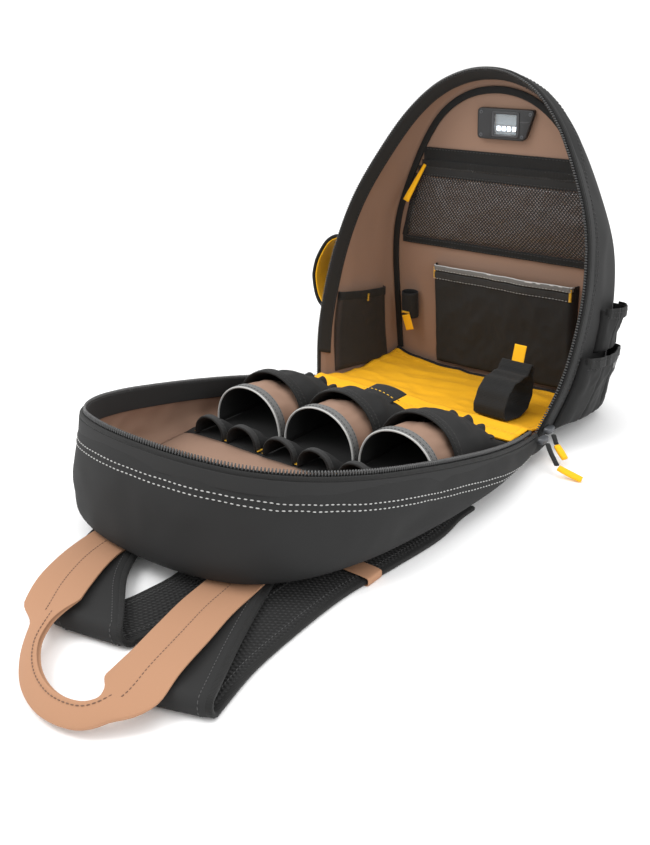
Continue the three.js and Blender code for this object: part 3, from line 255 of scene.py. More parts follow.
def tube_section(width: float, thickness: float, square: float, count: int = 12) -> Grid:
    """Points round a rounded strip's section: square is 1 for an ellipse and less for flat sides."""
    a = np.linspace(0, 2 * math.pi, count, endpoint=False)
    c, s = np.cos(a), np.sin(a)
    return np.stack([
        np.sign(c) * np.abs(c) ** square * width / 2,
        np.sign(s) * np.abs(s) ** square * thickness / 2,
    ], -1)


def strip(
    name: str,
    path: Grid,
    sides: Grid,
    width: Sequence[float] | float,
    thickness: Sequence[float] | float,
    square: float = 0.35,
    ring: bool = False,
    skewed: bool = False,
) -> Piece:
    """A closed strip of webbing or binding swept along a path in metres.

    Args:
        name: The piece's name.
        path: Centre of each station.
        sides: Width direction at each station.
        width: Width at each station, or one for all.
        thickness: Thickness at each station, or one for all.
        square: How round the section is, from 0 for a box to 1 for an ellipse.
        ring: Whether the last station joins the first.
        skewed: Whether the width directions are kept as given, not squared to the path.

    Returns:
        The strip's object.
    """
    path = np.asarray(path, float)
    count = len(path)
    sides = np.broadcast_to(np.asarray(sides, float), path.shape)
    widths = np.broadcast_to(np.asarray(width, float), (count,))
    depths = np.broadcast_to(np.asarray(thickness, float), (count,))
    along = unit(np.roll(path, -1, 0) - np.roll(path, 1, 0)) if ring else unit(np.gradient(path, axis=0))
    side = unit(sides if skewed else sides - along * np.sum(sides * along, -1, keepdims=True))
    up = unit(np.cross(along, side))
    loops = []
    for i in range(count):
        s = tube_section(widths[i], depths[i], square)
        loops.append(path[i] + s[:, :1] * side[i] + s[:, 1:] * up[i])
    grid = np.array(loops)
    n = grid.shape[1]
    far = np.concatenate([[0], np.cumsum(np.linalg.norm(np.diff(path, axis=0), axis=1))])
    far = np.append(far, far[-1] + np.linalg.norm(path[0] - path[-1]))
    round_it = np.append(tube_section(1, 0.1, square)[:, 0], 0.5)
    faces, uvs = [], []
    for i in range(count if ring else count - 1):
        j = (i + 1) % count
        for k in range(n):
            m = (k + 1) % n
            faces.append((i * n + k, i * n + m, j * n + m, j * n + k))
            a, b = round_it[k] * widths[i], round_it[k + 1] * widths[i]
            uvs += [(a, far[i]), (b, far[i]), (b, far[i + 1]), (a, far[i + 1])]
    points = grid.reshape(-1, 3)
    if not ring:
        faces.append(tuple(range(n))[::-1])
        faces.append(tuple((count - 1) * n + k for k in range(n)))
        section = tube_section(widths[0], depths[0], square)
        uvs += section[::-1].tolist() + section.tolist()
    made = mesh_object(name, points, faces, np.array(uvs))
    turn_out(made)
    return made


BOX_FACES = ((3, 2, 1, 0), (4, 5, 6, 7), (0, 1, 5, 4), (1, 2, 6, 5), (2, 3, 7, 6), (3, 0, 4, 7))


def turn_out(piece: Piece) -> None:
    """Makes a closed mesh's faces point outwards."""
    mesh = piece.data
    mesh.calc_loop_triangles()
    co = np.empty(len(mesh.vertices) * 3)
    mesh.vertices.foreach_get("co", co)
    co = co.reshape(-1, 3)
    tri = np.empty(len(mesh.loop_triangles) * 3, int)
    mesh.loop_triangles.foreach_get("vertices", tri)
    a, b, c = (co[tri.reshape(-1, 3)[:, k]] for k in range(3))
    if np.sum(a * np.cross(b, c)) < 0:
        mesh.flip_normals()


def cord_tube(name: str, path: Grid, radius: float, ring: bool = False) -> Piece:
    """A round cord or piping along a path in metres."""
    along = unit(np.gradient(np.asarray(path, float), axis=0))
    side = np.cross(along, np.array([0.13, 0.31, 0.94]))
    return strip(name, path, side, 2 * radius, 2 * radius, square=1.0, ring=ring)


# Finishes


class Weave(Enum):
    """How a cloth is made."""

    PLAIN = "plain"
    RIB = "rib"
    HONEYCOMB = "honeycomb"
    NET = "net"
    SMOOTH = "smooth"


class NodeBoard:
    """A material's node tree, with short ways to add and join nodes."""

    def __init__(self, name: str) -> None:
        """Starts a material of that name, with its shader and output."""
        self.material = bpy.data.materials.new(name)
        self.material.use_nodes = True
        self.tree = self.material.node_tree
        self.shader = self.tree.nodes["Principled BSDF"]
        self.output = self.tree.nodes["Material Output"]

    def add(self, kind: str, **inputs: object) -> bpy.types.Node:
        """Adds a node; a keyword sets the property or the input of that name."""
        node = self.tree.nodes.new(kind)
        for key, value in inputs.items():
            if hasattr(node, key):
                setattr(node, key, value)
            else:
                node.inputs[key.replace("_", " ")].default_value = value
        return node

    def join(self, source: Socket, target: Socket) -> None:
        """Links an output to an input."""
        self.tree.links.new(source, target)

    def finish(self, **values: object) -> None:
        """Sets the shader's own inputs; an underscore stands for a space."""
        for key, value in values.items():
            self.shader.inputs[key.replace("_", " ")].default_value = value

    def math(self, operation: str, a: object, b: object = 0.0, c: float = 0.5,
             clamp: bool = False) -> Socket:
        """A sum of sockets or numbers.

        Args:
            operation: Name of the Math node's operation.
            a: First socket or number.
            b: Second socket or number.
            c: Third number, where the operation takes one.
            clamp: Whether the result is kept from 0 to 1.

        Returns:
            The result's socket.
        """
        node = self.tree.nodes.new("ShaderNodeMath")
        node.operation = operation
        node.use_clamp = clamp
        node.inputs[2].default_value = c
        for socket, value in zip(node.inputs, (a, b)):
            if isinstance(value, Socket):
                self.join(value, socket)
            else:
                socket.default_value = value
        return node.outputs[0]

    def mix(self, share: object, a: object, b: object) -> Socket:
        """A mix of two colours by a share."""
        node = self.tree.nodes.new("ShaderNodeMix")
        node.data_type = "RGBA"
        for socket, value in zip((node.inputs[0], node.inputs[6], node.inputs[7]), (share, a, b)):
            if isinstance(value, Socket):
                self.join(value, socket)
            else:
                socket.default_value = value
        return node.outputs[2]

    def ramp(self, value: Socket, low: float, high: float, to_low: float = 0.0,
             to_high: float = 1.0) -> Socket:
        """A value carried from one range to another, and kept in it."""
        node = self.add("ShaderNodeMapRange")
        self.join(value, node.inputs[0])
        for socket, number in zip(node.inputs[1:5], (low, high, to_low, to_high)):
            socket.default_value = number
        return node.outputs[0]

    def noise(self, place: Socket, scale: float, detail: float = 3.0) -> Socket:
        """Noise at a place, from 0 to 1."""
        node = self.add("ShaderNodeTexNoise", Scale=scale, Detail=detail)
        self.join(place, node.inputs["Vector"])
        return node.outputs[0]


def rgba(colour: tuple[float, float, float]) -> tuple[float, float, float, float]:
    """A colour with full cover."""
    return (*colour, 1.0)


def grey(value: float) -> tuple[float, float, float]:
    """A grey of that linear value."""
    return (value, value, value)


@dataclass(frozen=True)
class Cloth:
    """A woven, knitted or coated cloth. Lengths are in metres."""

    name: str
    colour: tuple[float, float, float]
    # Lighter colour of the random blotches, worn edges and the painted highlight on fold crests.
    worn_and_highlight: tuple[float, float, float]
    thread: float = 0.0011
    relief: float = 0.00016
    weave: Weave = Weave.PLAIN
    roughness: float = 0.82
    sheen: float = 0.06
    blotch: float = 9.0
    opening: float = 0.0
    crumple: float = 0.001
    # Share by which the hollows between threads are darkened: painted shade at thread scale.
    ribbed: float = 0.25
    slot: str = "black_cloth"

    def height(self, board: NodeBoard, uv: Socket) -> Socket:
        """Height of the threads over the cloth, from 0 to 1."""
        split = board.add("ShaderNodeSeparateXYZ")
        board.join(uv, split.inputs[0])
        turn = 2 * math.pi / self.thread
        u, v = (board.math("MULTIPLY", split.outputs[k], turn) for k in (0, 1))
        if self.weave is Weave.RIB:
            ribs = board.math("SINE", v)
            fine = board.math("MULTIPLY", board.math("SINE", u), 0.35)
            return board.math("MULTIPLY_ADD", board.math("ADD", ribs, fine), 0.4)
        if self.weave is Weave.HONEYCOMB:
            slant = board.math("MULTIPLY", v, math.sqrt(3))
            one = board.math("COSINE", u)
            two = board.math("COSINE", board.math("MULTIPLY", board.math("ADD", u, slant), 0.5))
            three = board.math("COSINE", board.math("MULTIPLY", board.math("SUBTRACT", u, slant), 0.5))
            return board.math("MULTIPLY", board.math("ADD", board.math("ADD", one, two), three), -0.3)
        if self.weave is Weave.NET:
            slants = (board.math("MULTIPLY", board.math(way, u, v), 0.5) for way in ("ADD", "SUBTRACT"))
            one, two = (board.math("ABSOLUTE", board.math("SINE", slant)) for slant in slants)
            return board.math("MINIMUM", one, two)
        if self.weave is Weave.SMOOTH:
            return board.noise(uv, 2500.0, 2.0)
        one = board.math("SINE", board.math("ADD", u, v))
        two = board.math("SINE", board.math("SUBTRACT", u, v))
        return board.math("MULTIPLY", board.math("ADD", one, two), 0.5)

    def material(self) -> bpy.types.Material:
        """The cloth's material, made once."""
        found = bpy.data.materials.get(self.name)
        if found:
            return found
        board = NodeBoard(self.name)
        coords = board.add("ShaderNodeTexCoord")
        place, uv = coords.outputs["Object"], coords.outputs["UV"]
        threads = self.height(board, uv)
        blotch = board.noise(place, self.blotch, 5.0)
        fibre = board.noise(place, 700.0, 2.0)
        # Pointiness lightens convex edges and fold crests: partly worn edges, partly painted highlight on
        # the folds.
        geometry = board.add("ShaderNodeNewGeometry")
        edge = board.ramp(geometry.outputs["Pointiness"], 0.51, 0.58)
        shade = board.math("MULTIPLY", board.ramp(blotch, 0.3, 0.7), 0.45)
        wear = board.math("ADD", shade, board.math("MULTIPLY", edge, 0.5), clamp=True)
        grain = board.math("MULTIPLY_ADD", fibre, 0.5, 0.05)
        share = board.math("MULTIPLY", board.math("ADD", wear, grain), 0.62, clamp=True)
        # The hollows between threads keep the darker colour: painted shade at thread scale.
        gaps = board.ramp(threads, -0.5, 0.4, 1 - self.ribbed, 1.0)
        share = board.math("MULTIPLY", share, gaps)
        colour = board.mix(share, rgba(self.colour), rgba(self.worn_and_highlight))
        board.join(colour, board.shader.inputs["Base Color"])
        rough = board.ramp(blotch, 0.25, 0.75, self.roughness - 0.09, min(1.0, self.roughness + 0.08))
        board.join(rough, board.shader.inputs["Roughness"])
        bump = board.add("ShaderNodeBump", Distance=self.relief, Strength=0.8)
        board.join(threads, bump.inputs["Height"])
        soft = board.add("ShaderNodeBump", Distance=self.crumple, Strength=0.7)
        board.join(board.noise(place, 85.0, 4.0), soft.inputs["Height"])
        board.join(soft.outputs[0], bump.inputs["Normal"])
        board.join(bump.outputs[0], board.shader.inputs["Normal"])
        board.finish(Sheen_Weight=self.sheen, Sheen_Roughness=0.5, Specular_IOR_Level=0.35)
        if self.weave is Weave.NET:
            hole = board.math("LESS_THAN", threads, self.opening)
            board.join(hole, board.shader.inputs["Alpha"])
        return board.material


@dataclass(frozen=True)
class Hard:
    """A moulded, metal or clear finish."""

    name: str
    colour: tuple[float, float, float]
    roughness: float = 0.45
    metallic: float = 0.0
    grain: float = 0.00008
    clear: float = 0.0
    glow: float = 0.0
    alpha: float = 1.0
    slot: str = "black_plastic"

    def material(self) -> bpy.types.Material:
        """The finish's material, made once."""
        found = bpy.data.materials.get(self.name)
        if found:
            return found
        board = NodeBoard(self.name)
        place = board.add("ShaderNodeTexCoord").outputs["Object"]
        blotch = board.noise(place, 60.0, 4.0)
        grain = board.noise(place, 2600.0, 2.0)
        geometry = board.add("ShaderNodeNewGeometry")
        edge = board.ramp(geometry.outputs["Pointiness"], 0.53, 0.6, 0.0, 0.35)
        pale = tuple(min(1.0, c * 2.2 + 0.02) for c in self.colour)
        share = board.math("ADD", edge, board.math("MULTIPLY", blotch, 0.15), clamp=True)
        board.join(board.mix(share, rgba(self.colour), rgba(pale)), board.shader.inputs["Base Color"])
        board.join(
            board.ramp(blotch, 0.2, 0.8, max(0.02, self.roughness - 0.07), self.roughness + 0.07),
            board.shader.inputs["Roughness"],
        )
        board.finish(Metallic=self.metallic, Alpha=self.alpha, Coat_Weight=self.clear)
        bump = board.add("ShaderNodeBump", Distance=self.grain, Strength=0.6)
        board.join(grain, bump.inputs["Height"])
        board.join(bump.outputs[0], board.shader.inputs["Normal"])
        if self.glow:
            board.finish(Emission_Color=(0.78, 0.9, 1.0, 1.0), Emission_Strength=self.glow)
        return board.material


BLACK = Cloth("black_cloth", grey(0.0035), (0.0125, 0.0125, 0.012))
BLACK_WEB = Cloth("black_webbing", grey(0.0045), (0.018, 0.018, 0.0175), 0.002, 0.0003,
                  Weave.RIB)
BLACK_EDGE = Cloth("black_binding", grey(0.003), (0.013, 0.013, 0.0125), 0.0016, 0.0002,
                   Weave.RIB)
TAN = Cloth("tan_lining", (0.215, 0.128, 0.088), (0.335, 0.215, 0.155), 0.0014, 0.00014, slot="tan_lining")
# Tan webbing with strong painted shade in the hollows between its ribs.
WEBBING = Cloth("tan_webbing", (0.19, 0.118, 0.075), (0.52, 0.35, 0.24), 0.0019, 0.0006, Weave.RIB,
                ribbed=0.75, slot="tan_webbing")
YELLOW = Cloth("yellow_cloth", (0.88, 0.43, 0.004), (0.98, 0.55, 0.02), 0.0012, 0.0001, roughness=0.68,
               slot="yellow_cloth")
GREY = Cloth("grey_trim", (0.1, 0.1, 0.098), (0.24, 0.24, 0.235), 0.0016, 0.0003, Weave.RIB,
             slot="grey_cloth")
DARK_GREY = Cloth("charcoal_trim", grey(0.016), grey(0.045), 0.0016, 0.0003, Weave.RIB)
PALE = Cloth("pale_piping", (0.42, 0.42, 0.41), (0.62, 0.62, 0.6), 0.0016, 0.0002, Weave.RIB,
             slot="grey_cloth")
MESH = Cloth("padded_mesh", grey(0.003), grey(0.016), 0.0042, 0.0012, Weave.HONEYCOMB,
             blotch=5.0, slot="net")
NET = Cloth("fine_net", (0.012, 0.011, 0.01), (0.05, 0.046, 0.042), 0.0052, 0.0004, Weave.NET, opening=0.5,
            slot="net")
TAPE = Cloth("zip_tape", grey(0.003), grey(0.011), 0.0013, 0.0002, Weave.RIB,
             slot="zip_tape")
GREY_THREAD = Cloth("grey_thread", (0.25, 0.25, 0.245), (0.5, 0.5, 0.49), 0.0009, 0.0001, Weave.SMOOTH)
BLACK_THREAD = Cloth("black_thread", grey(0.012), grey(0.06), 0.0009, 0.0001,
                     Weave.SMOOTH)
YELLOW_THREAD = Cloth("yellow_thread", (0.7, 0.34, 0.01), (0.95, 0.58, 0.05), 0.0009, 0.0001, Weave.SMOOTH,
                      slot="yellow_cloth")
BROWN_THREAD = Cloth("brown_thread", (0.11, 0.06, 0.04), (0.2, 0.12, 0.08), 0.0009, 0.0001, Weave.SMOOTH,
                     slot="tan_webbing")
COIL = Hard("zip_coil", grey(0.03), roughness=0.24, grain=0.00002, slot="zip_tape")
PLASTIC = Hard("moulded_plastic", (0.012, 0.012, 0.013), roughness=0.42)
GLOSS = Hard("gloss_plastic", (0.02, 0.02, 0.022), roughness=0.12)
METAL = Hard("dark_metal", (0.1, 0.1, 0.11), roughness=0.3, metallic=0.95, slot="dark_metal")
FILM = Hard("clear_film", grey(0.5), roughness=0.07, grain=0.00001, clear=1.0, alpha=0.16,
            slot="lens")
LAMP = Hard("lamp_glow", (0.8, 0.9, 1.0), roughness=0.3, glow=9.0, slot="lens")
LENS = Hard("lamp_window", (0.1, 0.14, 0.16), roughness=0.08, glow=0.12, slot="lens")


# Repeats: Geometry Nodes


@dataclass(frozen=True)
class Bead:
    """A small repeated piece along a line: its step and its size, in metres."""

    step: float
    length: float
    width: float
    height: float


STITCH = Bead(0.0046, 0.0033, 0.0009, 0.0007)
TOPSTITCH = Bead(0.0056, 0.0038, 0.0014, 0.0012)
TOOTH = Bead(0.0032, 0.0021, 0.0075, 0.0034)
BARTACK = Bead(0.0011, 0.0009, 0.0042, 0.0013)
SEAM = Bead(0.0042, 0.0034, 0.0011, 0.0009)


class BeadTree:
    """Geometry Nodes that lay beads at even steps along lines, turned to the surface they lie on."""

    SEED = 7

    def __init__(self) -> None:
        """Builds the tree with named inputs for its sizes."""
        tree = bpy.data.node_groups.new("beads_along_lines", "GeometryNodeTree")
        self.tree = tree
        face = tree.interface
        face.new_socket("Geometry", in_out="INPUT", socket_type="NodeSocketGeometry")
        self.sockets = {}
        for label in ("Step", "Length", "Width", "Height", "Unevenness"):
            self.sockets[label] = face.new_socket(label, in_out="INPUT",
                                                  socket_type="NodeSocketFloat").identifier
        self.sockets["Finish"] = face.new_socket(
            "Finish", in_out="INPUT", socket_type="NodeSocketMaterial").identifier
        face.new_socket("Geometry", in_out="OUTPUT", socket_type="NodeSocketGeometry")
        add, join = tree.nodes.new, tree.links.new
        given, out = add("NodeGroupInput"), add("NodeGroupOutput")
        lines, spaced = add("GeometryNodeMeshToCurve"), add("GeometryNodeResampleCurve")
        spaced.mode = "LENGTH"
        join(given.outputs["Geometry"], lines.inputs["Mesh"])
        join(lines.outputs["Curve"], spaced.inputs["Curve"])
        join(given.outputs["Step"], spaced.inputs["Length"])
        ball, size = add("GeometryNodeMeshUVSphere"), add("ShaderNodeCombineXYZ")
        scale = add("GeometryNodeTransform")
        ball.inputs["Segments"].default_value = 6
        ball.inputs["Rings"].default_value = 4
        ball.inputs["Radius"].default_value = 0.5
        for k, label in enumerate(("Length", "Width", "Height")):
            join(given.outputs[label], size.inputs[k])
        join(ball.outputs["Mesh"], scale.inputs["Geometry"])
        join(size.outputs[0], scale.inputs["Scale"])
        tangent, along = add("GeometryNodeInputTangent"), add("FunctionNodeAlignRotationToVector")
        along.axis = "X"
        join(tangent.outputs[0], along.inputs["Vector"])
        lean, upright = add("GeometryNodeInputNamedAttribute"), add("FunctionNodeAlignRotationToVector")
        lean.data_type = "FLOAT_VECTOR"
        lean.inputs["Name"].default_value = "lean"
        upright.axis, upright.pivot_axis = "Z", "X"
        join(along.outputs[0], upright.inputs["Rotation"])
        join(lean.outputs["Attribute"], upright.inputs["Vector"])
        chance, low, high = add("FunctionNodeRandomValue"), add("ShaderNodeMath"), add("ShaderNodeMath")
        chance.data_type = "FLOAT"
        low.operation, high.operation = "SUBTRACT", "ADD"
        low.inputs[0].default_value = high.inputs[0].default_value = 1.0
        join(given.outputs["Unevenness"], low.inputs[1])
        join(given.outputs["Unevenness"], high.inputs[1])
        join(low.outputs[0], chance.inputs[2])
        join(high.outputs[0], chance.inputs[3])
        chance.inputs["Seed"].default_value = self.SEED
        spread = add("GeometryNodeInstanceOnPoints")
        join(spaced.outputs["Curve"], spread.inputs["Points"])
        join(scale.outputs["Geometry"], spread.inputs["Instance"])
        join(upright.outputs[0], spread.inputs["Rotation"])
        join(chance.outputs[1], spread.inputs["Scale"])
        solid, dress = add("GeometryNodeRealizeInstances"), add("GeometryNodeSetMaterial")
        join(spread.outputs["Instances"], solid.inputs["Geometry"])
        join(solid.outputs["Geometry"], dress.inputs["Geometry"])
        join(given.outputs["Finish"], dress.inputs["Material"])
        join(dress.outputs["Geometry"], out.inputs["Geometry"])

    def lay(self, name: str, lines: Sequence[Grid], leans: Sequence[Grid], bead: Bead,
            finish: Cloth | Hard, uneven: float = 0.06) -> Piece:
        """Lays beads along lines and turns the result into a plain mesh.

        Args:
            name: The piece's name.
            lines: Points of each line, in metres.
            leans: Direction that the beads stand up in, at each point.
            bead: Step and size of the beads.
            finish: Their finish.
            uneven: Share by which their sizes differ.

        Returns:
            The beads as one object.
        """
        points = np.concatenate(lines)
        edges, start = [], 0
        for line in lines:
            edges += [(start + i, start + i + 1) for i in range(len(line) - 1)]
            start += len(line)
        mesh = bpy.data.meshes.new(name + "_lines")
        mesh.from_pydata(points.tolist(), edges, [])
        up = mesh.attributes.new("lean", "FLOAT_VECTOR", "POINT")
        up.data.foreach_set("vector",
                            np.concatenate([np.broadcast_to(a, b.shape) for a,
                                            b in zip(leans, lines)]).ravel())
        guide = bpy.data.objects.new(name + "_lines", mesh)
        bpy.context.scene.collection.objects.link(guide)
        modifier = guide.modifiers.new("beads", "NODES")
        modifier.node_group = self.tree
        values = {"Step": bead.step, "Length": bead.length, "Width": bead.width, "Height": bead.height,
                  "Unevenness": uneven, "Finish": finish.material()}
        for label, value in values.items():
            modifier[self.sockets[label]] = value
        graph = bpy.context.evaluated_depsgraph_get()
        graph.update()
        solid = bpy.data.meshes.new_from_object(guide.evaluated_get(graph))
        guide.modifiers.remove(modifier)
        bpy.data.objects.remove(guide)
        solid.name = name
        solid.materials.clear()
        solid.materials.append(finish.material())
        solid.polygons.foreach_set("use_smooth", [True] * len(solid.polygons))
        made = bpy.data.objects.new(name, solid)
        bpy.context.scene.collection.objects.link(made)
        return made


# Dressing


class Bag:
    """What every sub-assembly shares: how a piece is dressed and logged."""

    def __init__(self) -> None:
        """Makes the tree that lays stitches and teeth."""
        self.beads = BeadTree()
        self.count = 0

    def wear(self, piece: Piece, finish: Cloth | Hard, *nodes: str, slot: str = "",
             second: Optional[Cloth] = None) -> Piece:
        """Dresses a piece and puts it on the bag.

        Args:
            piece: The object.
            finish: Its finish.
            nodes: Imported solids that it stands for.
            slot: The record's material slot for it, if that isn't the finish's own.
            second: Finish of its back, if that differs.

        Returns:
            The same object.
        """
        if not piece.data.materials:
            piece.data.materials.append(finish.material())
        if second:
            piece.data.materials.append(second.material())
        if nodes:
            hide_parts(*nodes)
        slot = slot or finish.slot
        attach(piece, "root")
        self.count += 1
        LOG.info("%s: %s", piece.name, slot)
        return piece

    def stitch(self, name: str, lines: Sequence[Grid], leans: Sequence[Grid], finish: Cloth = GREY_THREAD,
               bead: Bead = STITCH, slot: str = "") -> Piece:
        """Rows of stitches along lines on a surface."""
        return self.wear(self.beads.lay(name, lines, leans, bead, finish), finish, slot=slot)


class SubAssembly:
    """A group of the bag's pieces, built together."""

    def __init__(self, bag: Bag) -> None:
        """Keeps the bag, and its ways to dress a piece and to stitch."""
        self.beads, self.wear, self.stitch = bag.beads, bag.wear, bag.stitch


@dataclass(frozen=True)
class Shell:
    """One half of the bag: an arched panel, a wall and a rim. Sizes are in millimetres."""

    panel_half: float
    panel_length: float
    panel_shares: Table
    rim_half: float
    rim_length: float
    rim_shares: Table
    sections: Table
    bulge: float
    place_panel: Callable[[Grid, float], Grid]
    place_rim: Callable[[Grid], Grid]
    arch: int = 44
    foot: int = 6
    run: float = 60.0

    def outline(self, half: float, length: float, shares: Table) -> Grid:
        """The closed outline: up the right, over the top, down the left and along the foot."""
        right = np.array([(h * half, a * length) for a, h in shares])
        left = right[:-1][::-1] * [-1, 1]
        arch = even(smooth(np.concatenate([right, left]), 24), self.arch + 1)
        foot = np.stack([np.linspace(-right[0, 0], right[0, 0], self.foot + 1)[1:-1],
                         np.zeros(self.foot - 1)], -1)
        return np.concatenate([arch, foot])

    def loop(self, up: float, tuck: float, depth: float) -> Grid:
        """One coarse loop between the panel, up 0, and the rim, up 1, in the half's own frame."""
        panel = self.outline(self.panel_half, self.panel_length, self.panel_shares)
        rim = self.outline(self.rim_half, self.rim_length, self.rim_shares)
        low, high = inset(panel, depth + tuck), inset(rim, depth + tuck)
        swell = -self.bulge * math.sin(math.pi * up)
        share = np.clip(rim[:, 1] / self.run, 0, 1)[:, None]
        share[self.arch + 1:] = 0
        a = self.place_panel(low + (inset(low, swell) - low) * share, depth)
        b = self.place_rim(high + (inset(high, swell) - high) * share)
        return a + (b - a) * up

    def fine(self, loop: Grid) -> Grid:
        """A coarse loop with its arch smoothed and its foot kept straight."""
        arch = smooth(loop[: self.arch + 1], 5)
        foot = np.concatenate([loop[self.arch:], loop[:1]])
        straight = np.concatenate([foot[i] + (foot[i + 1] - foot[i]) * np.arange(4)[:, None] / 4
                                   for i in range(len(foot) - 1)])
        return np.concatenate([arch, straight[1:]])

    def wall(self, depth: float, steps: int = 4) -> Grid:
        """Rows of fine loops from the rim down to the panel's edge, at a depth in from the outside."""
        coarse = np.array([self.fine(self.loop(u, t, depth)) for u, t in self.sections])
        return smooth(coarse, steps)[::-1]

    def closed(self, depth: float) -> Grid:
        """The wall's rows and then rings over the panel, towards its middle."""
        wall = self.wall(depth)
        edge = wall[-1]
        middle = edge.mean(0)
        shares = [0.985, *np.linspace(0.95, 0.05, 19)]
        rings = np.array([middle + (edge - middle) * s for s in shares])
        return np.concatenate([wall, rings])

    def rim_line(self, depth: float, drop: float, step: int = 5) -> tuple[Grid, Grid, Grid]:
        """A line round the rim's arch.

        Args:
            depth: Distance in from the outside, in millimetres.
            drop: Distance down the wall from the rim, in millimetres.
            step: Pieces in each span.

        Returns:
            The line, the way down the wall and the way out of it, at each point.
        """
        top, low = self.loop(1, 0, depth), self.loop(0, 0, depth)
        out = unit(self.loop(1, 0, 0) - self.loop(1, 0, 6))[: self.arch + 1]
        down = (low - top)[: self.arch + 1]
        length = np.linalg.norm(down, axis=1, keepdims=True)
        down = unit(down)
        line = top[: self.arch + 1] + down * np.minimum(drop, length * 0.6)
        return smooth(line, step), unit(smooth(down, step)), unit(smooth(out, step))


def lying(points: Grid) -> Grid:
    """Points of the lying half in metres."""
    return metres(points)


@dataclass(frozen=True)
class Stand:
    """How the standing half sits at the hinge, on its own sloping base. Sizes are in millimetres."""

    gap: float = 0.3
    underside: float = 18.5
    depth: float = 193.7
    wall: float = 3.0

    def __call__(self, points: Grid) -> Grid:
        """Points of the standing half's own frame in metres."""
        p = np.asarray(points, float)
        slope = math.asin(self.underside / (self.depth - 2 * self.wall))
        y = p[..., 1] * math.cos(slope) + p[..., 2] * math.sin(slope) + self.gap
        z = -p[..., 1] * math.sin(slope) + p[..., 2] * math.cos(slope) + self.underside
        return metres(np.stack([p[..., 0], y, z], -1))


STANDING = Stand()
PANEL_LEAN, PANEL_BACK, SHELL_WALL = 10.5 * DEG, 193.7, 3
BACK_PANEL, FRONT_PANEL = (194, 486), (170, 410)
RIM_HALF, REAR_RIM_LENGTH, FRONT_RIM_LENGTH = 187, 480, 424
REAR_SHARES = ((0, 165 / 187), (0.15, 0.957), (0.3, 1), (0.45, 1), (0.6, 0.968), (0.75, 0.9),
               (0.87, 0.772), (0.95, 0.58), (0.99, 0.3), (1, 0))
FRONT_RIM_SHARES = ((0, 165 / 187), (0.15, 0.967), (0.3, 0.992), (0.45, 0.972), (0.6, 0.894),
                    (0.75, 0.734), (0.87, 0.56), (0.95, 0.37), (0.99, 0.17), (1, 0))
FRONT_PANEL_SHARES = ((0, 0.965), (0.27, 0.995), (0.42, 1), (0.54, 0.965), (0.67, 0.855),
                      (0.835, 0.66), (0.92, 0.5), (0.98, 0.27), (1, 0))
FRONT_POCKET_SHARES = ((0, 0.94), (0.35, 1), (0.7, 0.98), (0.9, 0.8), (0.98, 0.45), (1, 0))


def rear_shell() -> Shell:
    """The lying half's shell: a level panel, and a rim that rises towards the handle."""
    tilt = 12.6 * DEG

    def panel(p: Grid, lift: float) -> Grid:
        """Points of the panel at a lift off its outside."""
        return np.stack([p[:, 0], -p[:, 1], np.full(len(p), 16.0 + lift)], -1)

    def rim(p: Grid) -> Grid:
        """Points of the rim's plane."""
        return np.stack([p[:, 0], -p[:, 1] * math.cos(tilt), 21.5 + p[:, 1] * math.sin(tilt)], -1)

    sections = ((0, 14), (0.05, 5), (0.18, 0.5), (0.45, 0), (0.72, 0), (1, 0))
    return Shell(*BACK_PANEL, REAR_SHARES, RIM_HALF, REAR_RIM_LENGTH, REAR_SHARES, sections, 5, panel, rim)


def front_shell() -> Shell:
    """The standing half's shell, in its own frame: y is back from the hinge, z up from its base."""
    lean, slant = PANEL_LEAN, 11.9 * DEG

    def panel(p: Grid, lift: float) -> Grid:
        """Points of the panel at a lift off its outside."""
        y = PANEL_BACK - p[:, 1] * math.sin(lean) - lift * math.cos(lean)
        z = p[:, 1] * math.cos(lean) - lift * math.sin(lean)
        return np.stack([p[:, 0], y, z], -1)

    def rim(p: Grid) -> Grid:
        """Points of the rim's plane."""
        bow = 7 * np.sin(math.pi * p[:, 1] / FRONT_RIM_LENGTH)
        y = p[:, 1] * math.sin(slant) + bow * math.cos(slant)
        z = p[:, 1] * math.cos(slant) - bow * math.sin(slant)
        return np.stack([p[:, 0], y, z], -1)

    sections = ((0, 3), (0.02, 0.6), (0.07, 0), (0.4, 0), (0.7, 0), (1, 0))
    return Shell(*FRONT_PANEL, FRONT_PANEL_SHARES, RIM_HALF, FRONT_RIM_LENGTH, FRONT_RIM_SHARES, sections,
                 4, panel, rim)


REAR, FRONT = rear_shell(), front_shell()


def on_lining(x: Grid | float, up: Grid | float, lift: Grid | float) -> Grid:
    """Points over the standing half's lining, in metres.

    Args:
        x: Place across, in millimetres.
        up: Height up the panel, in millimetres.
        lift: Distance towards the viewer, in millimetres.

    Returns:
        The points in metres.
    """
    x, up, lift = np.broadcast_arrays(*(np.asarray(v, float) for v in (x, up, lift)))
    lift = lift + SHELL_WALL
    y = PANEL_BACK - up * math.sin(PANEL_LEAN) - lift * math.cos(PANEL_LEAN)
    z = up * math.cos(PANEL_LEAN) - lift * math.sin(PANEL_LEAN)
    return STANDING(np.stack([x, y, z], -1))


LINING_OUT = unit(on_lining(0, 0, 10) - on_lining(0, 0, 0))
LINING_UP = unit(on_lining(0, 10, 0) - on_lining(0, 0, 0))
ACROSS = np.array([1.0, 0.0, 0.0])
UPWARDS = np.array([0.0, 0.0, 1.0])


